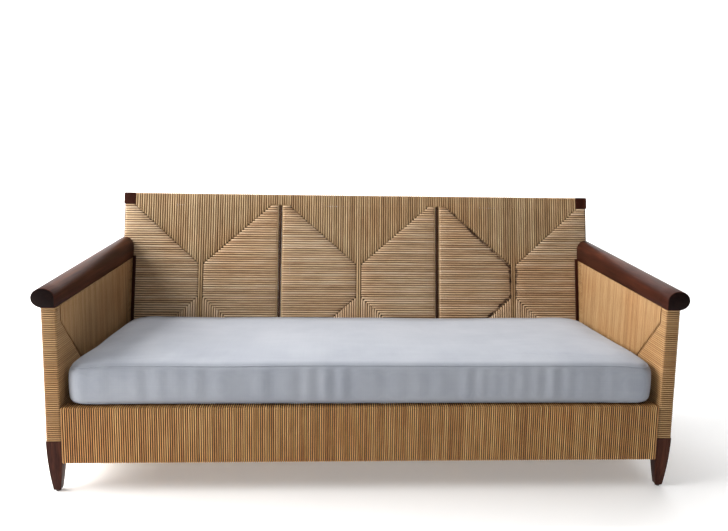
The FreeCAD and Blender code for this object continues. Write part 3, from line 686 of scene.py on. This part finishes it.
def level_strands(weave, down, step, low_edge, high_edge, low, high, middle):
    """The level strands of one section at one distance down, round its two outer edges."""
    front, rear = STRAND, PANEL - STRAND
    for corner, edge in ((low, low_edge + STRAND), (high, high_edge - STRAND)):
        start = pattern_edge(down, corner, middle)
        corners = [(start, front), (edge, front), (edge, rear), (start, rear)]
        level_strand(weave, down, corners[::-1] if corner == low else corners, step)


def weave_back():
    """The band of upright wraps along the top, which run on into each section's upper
    mitre, and for each section the level wraps and the lower upright ones."""
    band = Weave(seed=41)
    sections = {name: Weave(seed=50 + number) for number, name in enumerate(SECTIONS)}
    columns, step = spaced(-INNER, INNER, COARSE_PITCH)
    for x in columns:
        upright_strands(x, step, band, sections)
    rows, step = spaced(BAND, PATTERN_BOTTOM + STRAND, COARSE_PITCH)
    for name, edges in SECTIONS.items():
        for down in rows:
            level_strands(sections[name], down, step, *edges)
        sections[name].finish("back_cane_" + name, "cane_back", "weave_back_" + name)
    band.finish("back_cane_top", "cane_back_top", "weave_back_top", slot="cane_back")


# ---------------------------------------------------------------- turned and sawn wood


def solid(name, points, faces, materials, smooth_angle=35.0):
    """A mesh piece. Each face is its corners and the number of its material."""
    mesh = bpy.data.meshes.new(name)
    mesh.from_pydata([tuple(point) for point in points], [], [face for face, number in faces])
    mesh.polygons.foreach_set("material_index", [number for face, number in faces])
    for material in materials:
        mesh.materials.append(MATERIALS[material])
    mesh.update()
    mesh.shade_smooth()
    mesh.set_sharp_from_angle(angle=math.radians(smooth_angle))
    return add_object(name, mesh)


def loft(rings, cap_material=0):
    """Points and faces through rings of equal length, capped at both ends."""
    size = len(rings[0])
    points = [point for ring in rings for point in ring]
    faces = [(tuple(quad), 0) for quad in between_rings(len(rings), size).tolist()]
    last = (len(rings) - 1) * size
    faces.append((tuple(reversed(range(size))), cap_material))
    faces.append((tuple(range(last, last + size)), cap_material))
    return points, faces


RAIL_FRONT = 0.064  # height of a handrail at its front end
RAIL_REAR = 0.088  # and where it meets the back
RAIL_REACH = FRONT + 0.830  # how far back that is
RAIL_STATIONS = 14
RAIL_FLAT = (0.48, 0.30)  # points along the two flat sides, as parts of the section's size
RAIL_EDGE = 0.06  # softened lower inner edge
RAIL_NEAR = 0.018  # where the edge's middle is
RAIL_ARC = 45  # points round the rest of the section
RAIL_EASE = 0.0025  # softened front end
# Each ring of the front end: how far back it is, and how much smaller than the section.
RAIL_START = ((0.0, 0.07), (0.3 * RAIL_EASE, 0.02), (RAIL_EASE, 0.0))


def rail_section():
    """A handrail's section in a unit square: square at its lower inner edge, round elsewhere."""
    flat = [(0.0, place) for place in (*RAIL_FLAT, RAIL_EDGE)]
    outline = flat + [(RAIL_NEAR, RAIL_NEAR)] + [(place, level) for level, place in reversed(flat)]
    for turn in np.radians(np.linspace(-90.0, 180.0, RAIL_ARC)):
        outline.append((0.5 + 0.5 * math.cos(turn), 0.5 + 0.5 * math.sin(turn)))
    return outline


def rail_ring(sign, y, inset=0.0):
    """A handrail's section at a y."""
    share = (y - HANDRAIL_LOW.y) / (RAIL_REACH - HANDRAIL_LOW.y)
    width = HANDRAIL_HIGH.x - INNER
    height = RAIL_FRONT + (RAIL_REAR - RAIL_FRONT) * share
    ring = []
    for across, up in rail_section():
        across = 0.5 + (across - 0.5) * (1 - inset)
        up = 0.5 + (up - 0.5) * (1 - inset)
        ring.append(Vector((sign * (INNER + width * across), y, under_rail(y) + height * up)))
    return ring if sign > 0 else ring[::-1]


def handrail(side, sign):
    """A handrail with an eased front end, its rear end cut to the lean of the back."""
    rings = [rail_ring(sign, HANDRAIL_LOW.y + back, inset) for back, inset in RAIL_START]
    first = rings[-1]
    cut = []
    for near, end in zip(first, rail_ring(sign, RAIL_REACH)):
        way = end - near
        gap = back_plane(near.z) - near.y
        cut.append(near + way * gap / (way.y - BACK_SLOPE * way.z))
    for share in np.linspace(0.0, 1.0, RAIL_STATIONS + 1)[1:]:
        rings.append([near.lerp(end, share) for near, end in zip(first, cut)])
    points, faces = loft(rings, cap_material=1)
    piece = solid("handrail_turned_" + side, points, faces, ["rail_wood", "end_grain"])
    assemble(piece, "frame", "handrail_" + side)


def square_ring(half, radius, centre, rise, across=(1, 0, 0), along=(0, 1, 0)):
    """A square with rounded corners, round a centre."""
    across, along = Vector(across), Vector(along)
    ring = []
    for quarter in range(4):
        for step in range(4):
            turn = math.radians(90 * quarter + 30 * step)
            corner_x = (half - radius) * (1 if quarter in (0, 3) else -1)
            corner_y = (half - radius) * (1 if quarter in (0, 1) else -1)
            u = corner_x + radius * math.cos(turn)
            v = corner_y + radius * math.sin(turn)
            ring.append(Vector(centre) + across * u + along * v + Vector((0, 0, 1)) * rise)
    return ring


FOOT_HALF = 0.012  # half width of a leg at the floor
FOOT_BEVEL = 0.003
TAPER_RADIUS = 1.4
FOOT_ROUND = 0.002  # softened corner of a foot's base
FOOT_SECTIONS = 16
EDGE = 0.0025  # softened edge of the bare wood
STILE_LOW = 0.020  # how far a stile in the weave ends over the back's lower edge


def leg_half(z):
    """Half width of the bare leg at a height: a long arc that bulges outwards."""
    low = np.array([FOOT_HALF, FOOT_BASE + FOOT_BEVEL])
    high = np.array([PANEL / 2, LEG_BARE])
    chord = high - low
    half = np.linalg.norm(chord) / 2
    inward = np.array([-chord[1], chord[0]]) / (2 * half)
    centre = (low + high) / 2 + inward * math.sqrt(TAPER_RADIUS ** 2 - half ** 2)
    return float(centre[0] + math.sqrt(TAPER_RADIUS ** 2 - (z - centre[1]) ** 2))


def foot_rings(x, y):
    """Sections of the bare, tapered part of a leg."""
    rings = [square_ring(FOOT_HALF - FOOT_BEVEL, FOOT_ROUND, (x, y, 0), FOOT_BASE)]
    for z in np.linspace(FOOT_BASE + FOOT_BEVEL, LEG_BARE, FOOT_SECTIONS):
        rings.append(square_ring(leg_half(z), EDGE, (x, y, 0), z))
    return rings


def bar_rings(ends, half, radius, across, along):
    """Sections of a straight square bar, its ends eased."""
    start, finish = (Vector(end) for end in ends)
    way = (finish - start).normalized()
    rings = []
    eased = way * radius
    places = ((start, radius), (start + eased, 0.0), (finish - eased, 0.0), (finish, radius))
    for centre, inset in places:
        rings.append(square_ring(half - inset, radius, centre, 0.0, across, along))
    return rings


def joined(*lofts):
    """Several lofts as one set of points and faces."""
    points = []
    faces = []
    for more, its_faces in lofts:
        base = len(points)
        points += more
        faces += [(tuple(corner + base for corner in face), number) for face, number in its_faces]
    return points, faces


def legs(side, sign):
    """Front and rear leg: the tapered foot, the post in the weave, the bare corner block."""
    x = sign * (HALF - PANEL / 2)
    core = PANEL / 2 - STRAND
    y = FRONT + PANEL / 2
    ends = [(x, y, LEG_BARE), (x, y, under_rail(FRONT) - STRAND)]
    post = bar_rings(ends, core, EDGE, (1, 0, 0), (0, 1, 0))
    points, faces = joined(loft(foot_rings(x, y)), loft(post))
    piece = solid("front_leg_shaped_" + side, points, faces, ["leg_wood"])
    assemble(piece, "frame", "front_leg_" + side)

    across = (1, 0, 0)
    along = tuple(turned_on_back(0.0, 1.0, 0.0))
    stile = [on_back(x, PANEL / 2, BACK_LENGTH - STILE_LOW), on_back(x, PANEL / 2, BAND)]
    block = [on_back(x, PANEL / 2, BAND), on_back(x, PANEL / 2, 0.0)]
    points, faces = joined(
        loft(foot_rings(x, REAR_LEG_FRONT + PANEL / 2)),
        loft(bar_rings(stile, core, EDGE, across, along)),
        loft(bar_rings(block, PANEL / 2, EDGE, across, along)),
    )
    piece = solid("rear_leg_shaped_" + side, points, faces, ["leg_wood"])
    assemble(piece, "frame", "rear_leg_" + side)


# ---------------------------------------------------------------- cushion

CUSHION_LOW, CUSHION_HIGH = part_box("cushion_cover")
CELL = 0.0135  # size of the cloth's squares before they are divided
CORNER = 0.055  # plan radius of the cushion's corners
INSET = 0.004  # how far the cloth starts inside its final size
TOP_ROUND = 0.027  # radius that the cloth turns through at the top seam
LOW_ROUND = 0.016  # and at the bottom seam
BULGE = 0.004  # how far the boxing stands out before it is filled
CROWN = 0.009  # how far the front of the top stands over its seam
DIP = 0.008  # how far the top falls towards its corners
DIP_REACH = 0.080
SWELL = 0.016  # the most that a point may move as the cushion fills
WELT = 0.0020  # radius of the cord in a seam
SEAM_DEPTH = 0.0022  # how far a seam is drawn in
SEAM_CREASE = 0.25  # how sharp it stays when the cloth is divided
TUCK = 0.008  # how far the lower front corners stand off the slats
TUCK_REACH = 0.055
SEAT_ROOM = 0.0004  # between cushion and slats
BACK_ROOM = 0.0025  # between cushion and back
SMALL = 1e-6
COVER = 0.003  # from the cover's face to the foam
FULL_HALF = INNER - 0.009  # half width of the filled cushion
FULL_FRONT = FRONT + 0.004  # front of the filled cushion


def cushion_floor(y):
    """Height of the cushion's underside, which lies on the slats."""
    return CUSHION_HIGH.z - CUSHION_HEIGHT - SEAT_SLOPE * (y - CUSHION_LOW.y)


def cushion_grid():
    """A box of squares: points, faces, and the loops of points along its two seams."""
    across = int(round((CUSHION_HIGH.x - CUSHION_LOW.x) / CELL))
    deep = int(round((CUSHION_HIGH.y - CUSHION_LOW.y) / CELL))
    tall = int(round(CUSHION_HEIGHT / CELL))
    index = {}
    points = []

    def point(i, j, k):
        key = (i, j, k)
        if key not in index:
            index[key] = len(points)
            points.append((i / across, j / deep, k / tall))
        return index[key]

    faces = []
    for i in range(across):
        for j in range(deep):
            corners = [(i, j), (i, j + 1), (i + 1, j + 1), (i + 1, j)]
            faces.append(tuple(point(*corner, 0) for corner in corners))
            faces.append(tuple(point(*corner, tall) for corner in [corners[0]] + corners[:0:-1]))
    round_it = [(i, 0) for i in range(across)] + [(across, j) for j in range(deep)]
    round_it += [(i, deep) for i in range(across, 0, -1)] + [(0, j) for j in range(deep, 0, -1)]
    ring = len(round_it)
    for number, (i, j) in enumerate(round_it):
        after = round_it[(number + 1) % ring]
        for k in range(tall):
            faces.append((point(i, j, k), point(*after, k), point(*after, k + 1), point(i, j, k + 1)))
    seams = [[point(i, j, k) for i, j in round_it] for k in (0, tall)]
    return np.array(points), faces, seams


def cushion_shape(unit, inset):
    """Unit box to the cushion's own shape: raked underside, rear face leaning with the
    back, and every edge and corner rounded."""
    low_x, high_x = CUSHION_LOW.x + inset, CUSHION_HIGH.x - inset
    front = CUSHION_LOW.y + inset
    height = CUSHION_HEIGHT - inset
    x = low_x + (high_x - low_x) * unit[:, 0]
    rear = CUSHION_HIGH.y - BACK_SLOPE * CUSHION_HEIGHT - inset + BACK_SLOPE * height * unit[:, 2]
    y = front + (rear - front) * unit[:, 1]
    side_x = np.where(x > 0, 1.0, -1.0)
    side_y = np.where(unit[:, 1] > 0.5, 1.0, -1.0)
    room_x = np.where(x > 0, high_x - x, x - low_x)
    room_y = np.where(side_y > 0, rear - y, y - front)

    over_x, over_y = np.maximum(CORNER - room_x, 0.0), np.maximum(CORNER - room_y, 0.0)
    reach = np.maximum(np.hypot(over_x, over_y), SMALL)
    level = np.maximum(over_x, over_y)
    out_x, out_y = side_x * over_x / reach, side_y * over_y / reach
    x += side_x * over_x * (level / reach - 1)
    y += side_y * over_y * (level / reach - 1)

    room = CORNER - level
    up = np.where(unit[:, 2] > 0.5, 1.0, -1.0)
    round_off = np.where(up > 0, TOP_ROUND, LOW_ROUND)
    room_z = height * np.where(up > 0, 1 - unit[:, 2], unit[:, 2])
    over, over_z = np.maximum(round_off - room, 0.0), np.maximum(round_off - room_z, 0.0)
    scale = np.maximum(over, over_z) / np.maximum(np.hypot(over, over_z), SMALL)
    change = np.where((over > 0) & (over_z > 0), scale - 1, 0.0)
    bulge = BULGE * np.sin(math.pi * unit[:, 2]) * (room < SMALL)
    x += out_x * (over * change + bulge)
    y += out_y * (over * change + bulge)
    z = cushion_floor(y) + height * unit[:, 2] + up * over_z * change
    z += CROWN * (1 - unit[:, 1]) * unit[:, 2]
    z -= DIP * np.exp(-(room_x ** 2 + room_y ** 2) / DIP_REACH ** 2) * unit[:, 2]
    return np.column_stack([x, y, z])


CUSHION_SEED = 7
PUCKERS = 26
PUCKER_DEPTH = 0.0017
PUCKER_LENGTHS = (0.045, 0.130)
PUCKER_REACHES = (0.05, 0.22)
PUCKER_STRENGTHS = (0.3, 1.0)
PUCKER_FADE = 0.7  # how a pucker fades towards the seams: 0 is not at all
HUMPS = 22
HUMP_HEIGHT = 0.0035
HUMP_REACHES = (0.08, 0.22)


def puckers(unit, points, random):
    """Soft upright puckers on the front boxing."""
    wave = np.zeros(len(unit))
    for _ in range(PUCKERS):
        length = random.uniform(*PUCKER_LENGTHS)
        phase = random.uniform(0.0, 2 * math.pi)
        centre = random.uniform(CUSHION_LOW.x, CUSHION_HIGH.x)
        reach = random.uniform(*PUCKER_REACHES)
        near = np.exp(-((points[:, 0] - centre) / reach) ** 2)
        swing = np.sin(points[:, 0] / length * 2 * math.pi + phase)
        wave += near * swing * random.uniform(*PUCKER_STRENGTHS)
    upright = np.sin(np.clip(unit[:, 2], 0, 1) * math.pi) ** PUCKER_FADE
    return PUCKER_DEPTH * wave * upright * (unit[:, 1] < SMALL)


def humps(unit, points, random):
    """Low, wide humps and hollows over the top."""
    height = np.zeros(len(unit))
    for _ in range(HUMPS):
        x = random.uniform(CUSHION_LOW.x, CUSHION_HIGH.x)
        y = random.uniform(CUSHION_LOW.y, CUSHION_HIGH.y)
        reach = random.uniform(*HUMP_REACHES)
        away = (points[:, 0] - x) ** 2 + (points[:, 1] - y) ** 2
        height += random.uniform(-HUMP_HEIGHT, HUMP_HEIGHT) * np.exp(-away / reach ** 2)
    return height * unit[:, 2]


SIMULATED_FRAMES = 20
CLOTH = {
    "quality": 5,
    "mass": 0.25,
    "use_pressure": True,
    "uniform_pressure_force": 4.0,
    "tension_stiffness": 18.0,
    "compression_stiffness": 12.0,
    "shear_stiffness": 8.0,
    "bending_stiffness": 0.4,
    "vertex_group_shrink": "boxing",
    "shrink_min": 0.0,
    "shrink_max": -0.04,  # the boxing's cloth is this part longer than its shape
}


def fill_cushion(piece, boxing):
    """Blow the cloth up a little, as the stuffing does, and give the points where it stops."""
    rest = np.array([vertex.co for vertex in piece.data.vertices])
    group = piece.vertex_groups.new(name="boxing")
    group.add([int(index) for index in boxing], 1.0, "REPLACE")
    cloth = piece.modifiers.new("fill", "CLOTH")
    for setting, value in CLOTH.items():
        setattr(cloth.settings, setting, value)
    cloth.settings.effector_weights.gravity = 0.0
    scene = bpy.context.scene
    for number in range(1, SIMULATED_FRAMES + 1):
        scene.frame_set(number)
    shaped = piece.evaluated_get(bpy.context.evaluated_depsgraph_get())
    moved = np.array([vertex.co for vertex in shaped.data.vertices])
    piece.modifiers.remove(cloth)
    scene.frame_set(1)
    way = moved - rest
    length = np.linalg.norm(way, axis=1)
    scale = SWELL * np.tanh(length / SWELL) / np.maximum(length, SMALL)
    return rest + way * scale[:, None]


def fit_seat(points):
    """Bring the filled cushion back to its width and depth, which filling draws in."""
    points[:, 0] *= FULL_HALF / np.abs(points[:, 0]).max()
    front, rear = points[:, 1].min(), points[:, 1].max()
    depth = CUSHION_HIGH.y - FULL_FRONT
    points[:, 1] = FULL_FRONT + (points[:, 1] - front) * depth / (rear - front)
    return points


def settle(points):
    """Keep the cushion on the slats and off the back, its lower front corners tucked up."""
    floor = cushion_floor(points[:, 1]) + SEAT_ROOM
    for sign in (-1, 1):
        dx = points[:, 0] - sign * CUSHION_HIGH.x
        dy = points[:, 1] - CUSHION_LOW.y
        floor = floor + TUCK * np.exp(-(dx ** 2 + dy ** 2) / TUCK_REACH ** 2)
    points[:, 2] = np.maximum(points[:, 2], floor)
    points[:, 1] = np.minimum(points[:, 1], back_plane(points[:, 2]) - BACK_ROOM)
    return points


def round_tube(name, path, radius, material, sides=8):
    """A closed cord of cloth along a loop of points."""
    path = np.array(path)
    way = np.roll(path, -1, axis=0) - np.roll(path, 1, axis=0)
    way /= np.linalg.norm(way, axis=1)[:, None]
    side = np.cross(way, AXES[2])
    side /= np.linalg.norm(side, axis=1)[:, None]
    up = np.cross(side, way)
    points = []
    for step in range(sides):
        turn = 2 * math.pi * step / sides
        points.append(path + side * radius * math.cos(turn) + up * radius * math.sin(turn))
    points = np.stack(points, axis=1).reshape(-1, 3)
    quads = between_rings(len(path), sides, closed=True)[:, [0, 3, 2, 1]]
    faces = [(tuple(quad), 0) for quad in quads.tolist()]
    return solid(name, points, faces, [material], smooth_angle=180.0)


def set_points(piece, points):
    """Move a piece's own points."""
    piece.data.vertices.foreach_set("co", points.astype(np.float32).ravel())
    piece.data.update()


def divide(piece, seams):
    """One subdivision, with the seams held a little."""
    seam_edges = {frozenset(pair) for seam in seams for pair in zip(seam, seam[1:] + seam[:1])}
    crease = piece.data.attributes.new("crease_edge", "FLOAT", "EDGE")
    values = [SEAM_CREASE * (frozenset(edge.vertices) in seam_edges) for edge in piece.data.edges]
    crease.data.foreach_set("value", values)
    modifier = piece.modifiers.new("divide", "SUBSURF")
    modifier.levels = modifier.render_levels = 1
    smooth = piece.evaluated_get(bpy.context.evaluated_depsgraph_get())
    piece.data = bpy.data.meshes.new_from_object(smooth)
    piece.modifiers.clear()


def cushion():
    """The long boxed cushion with its corded seams, and the foam inside."""
    unit, faces, seams = cushion_grid()
    points = cushion_shape(unit, INSET)
    random = np.random.RandomState(CUSHION_SEED)
    points[:, 1] -= puckers(unit, points, random)
    points[:, 2] += humps(unit, points, random)
    squares = [(face, 0) for face in faces]
    piece = solid("cushion_filled", points, squares, ["cotton"], smooth_angle=180.0)
    boxing = np.nonzero((unit[:, 2] > 0) & (unit[:, 2] < 1))[0]
    points = fit_seat(fill_cushion(piece, boxing))
    points = settle(points)
    set_points(piece, points)
    outward = np.array([vertex.normal for vertex in piece.data.vertices])
    for seam in seams:
        points[seam] -= outward[seam] * SEAM_DEPTH
    set_points(piece, points)
    divide(piece, seams)
    smoothed = np.array([vertex.co for vertex in piece.data.vertices])
    foam = solid("cushion_foam", points - outward * COVER, squares, ["foam"], smooth_angle=60.0)
    assemble(foam, "cushion", "cushion_core")
    assemble(piece, "cushion", "cushion_cover")
    for seam, name in zip(seams, ("bottom", "top")):
        path = smoothed[seam] + outward[seam] * WELT / 4
        welt = round_tube("cushion_welt_" + name, path, WELT, "cotton")
        assemble(welt, "cushion")


# ---------------------------------------------------------------- carried-over parts

# Each material, and what the names of the parts that it's given to start with.
NODE_MATERIALS = {
    "groove_wood": ("groove_strip",),
    "leg_wood": ("corner_trim",),
    "nylon": ("foot_glides",),
    "foam": ("cushion_core",),
    "stuffing": ("arm_stuffing", "back_stuffing"),
    "steel": ("handrail_screws", "slat_screws", "corner_block_screws", "arm_screws"),
    "slats": ("seat_slats",),
    "hidden_x": ("dowels", "corner_blocks", "seat_rail_front", "seat_rail_rear", "slat_cleat",
                 "back_top_rail", "back_bottom_rail"),
    "hidden_y": ("seat_rail_left", "seat_rail_right", "seat_stretcher", "arm_top_rail",
                 "arm_bottom_rail"),
    "hidden_z": ("arm_rear_stile", "back_stile"),
}


def finish_nodes():
    """Give each part that is shown as packed its own procedural material."""
    for material, starts in NODE_MATERIALS.items():
        for name, node in NODES.items():
            if name.startswith(starts):
                for place in node.material_slots:
                    place.material = MATERIALS[material]


# ---------------------------------------------------------------- studio

FLOOR_FRONT = -9.0  # where the floor starts, before the object
BACKDROP = 5.5  # where the backdrop stands
COVE = 3.0  # radius of the curve between them
COVE_STEPS = 12
STUDIO_HALF = 16.0
STUDIO_HEIGHT = 9.0
FLOOR_GLOW = 0.20  # the pale floor glows: painted light that lifts the shadows on it


def studio_floor():
    """A pale floor that curves up into a backdrop far behind."""
    profile = [(FLOOR_FRONT, 0.0), (0.0, 0.0)]
    for turn in np.linspace(0.0, math.pi / 2, COVE_STEPS + 1):
        profile.append((BACKDROP - COVE + COVE * math.sin(turn), COVE - COVE * math.cos(turn)))
    profile.append((BACKDROP, STUDIO_HEIGHT))
    points = [(x, y, z) for y, z in profile for x in (-STUDIO_HALF, STUDIO_HALF)]
    faces = [((2 * row, 2 * row + 1, 2 * row + 3, 2 * row + 2), 0) for row in range(len(profile) - 1)]
    # The floor glows: painted light that lifts the shadows on it and adds a little light from below.
    paper = MATERIALS["floor"].node_tree.nodes["Principled BSDF"].inputs
    paper["Emission Color"].default_value = (1.0, 1.0, 1.0, 1.0)
    paper["Emission Strength"].default_value = FLOOR_GLOW
    solid("studio_floor", points, faces, ["floor"])


AIR = (0.95, 0.97, 1.0, 1.0)
AIR_STRENGTH = 0.13
# Each light: name, place, target, width and height, power, colour.
LIGHTS = (
    ("window_left", (-4.1, 0.0, 2.7), (0.4, 0.0, 0.4), (4.4, 3.2), 540.0, (1.0, 0.985, 0.96)),
    ("ceiling", (-0.5, 0.0, 3.6), (0.0, -0.1, 0.3), (3.5, 2.5), 26.0, (1.0, 1.0, 1.0)),
    ("camera_side", (-1.2, -4.4, 2.0), (0.0, 0.0, 0.4), (3.0, 2.0), 19.0, (0.96, 0.98, 1.0)),
    ("backdrop_wash", (0.0, 2.6, 5.6), (0.0, 5.4, 1.6), (9.0, 1.2), 420.0, (1.0, 1.0, 1.0)),
)


def lights():
    """A large window to the left and above, a weak fill, and light on the backdrop."""
    for name, place, target, size, power, colour in LIGHTS:
        data = bpy.data.lights.new(name, "AREA")
        data.shape = "RECTANGLE"
        data.size, data.size_y = size
        data.energy = power
        data.color = colour
        light = add_object(name, data)
        light.location = place
        way = Vector(target) - Vector(place)
        light.rotation_euler = way.to_track_quat("-Z", "Y").to_euler()
    world = bpy.data.worlds.new("studio_air")
    world.use_nodes = True
    background = world.node_tree.nodes["Background"].inputs
    background["Color"].default_value = AIR
    background["Strength"].default_value = AIR_STRENGTH
    bpy.context.scene.world = world
    bpy.context.scene.view_settings.view_transform = "Standard"


CAMERA_SENSOR = 36.0  # width in millimetres
CAMERA_LENS = 31.65  # focal length in millimetres
CAMERA_SHIFT = -0.067  # the view is moved down by this part of its width
CAMERA_PLACE = (-0.1132, FRONT - 2.0078, 1.1632)
CAMERA_YAW = 0.0475  # turned towards +X
CAMERA_PITCH = 0.1196  # looking down
CAMERA_ROLL = 0.0166


def camera():
    """The view from a little left of the middle, standing."""
    data = bpy.data.cameras.new("camera")
    data.sensor_width = CAMERA_SENSOR
    data.lens = CAMERA_LENS
    data.shift_y = CAMERA_SHIFT
    level = math.cos(CAMERA_PITCH)
    forward = Vector((
        math.sin(CAMERA_YAW) * level, math.cos(CAMERA_YAW) * level, -math.sin(CAMERA_PITCH)))
    right = Vector((math.cos(CAMERA_YAW), -math.sin(CAMERA_YAW), 0.0))
    up = right.cross(forward)
    side = right * math.cos(CAMERA_ROLL) + up * math.sin(CAMERA_ROLL)
    top = up * math.cos(CAMERA_ROLL) - right * math.sin(CAMERA_ROLL)
    turn = Matrix((side, top, -forward)).transposed().to_4x4()
    view = add_object("camera", data)
    view.matrix_world = Matrix.Translation(CAMERA_PLACE) @ turn
    bpy.context.scene.camera = view


# ---------------------------------------------------------------- the daybed

camera()
studio_floor()
lights()
finish_nodes()
weave_front_rail()
for side_name, side_sign in SIDES.items():
    weave_arm(side_name, side_sign)
    handrail(side_name, side_sign)
    legs(side_name, side_sign)
weave_back()
cushion()
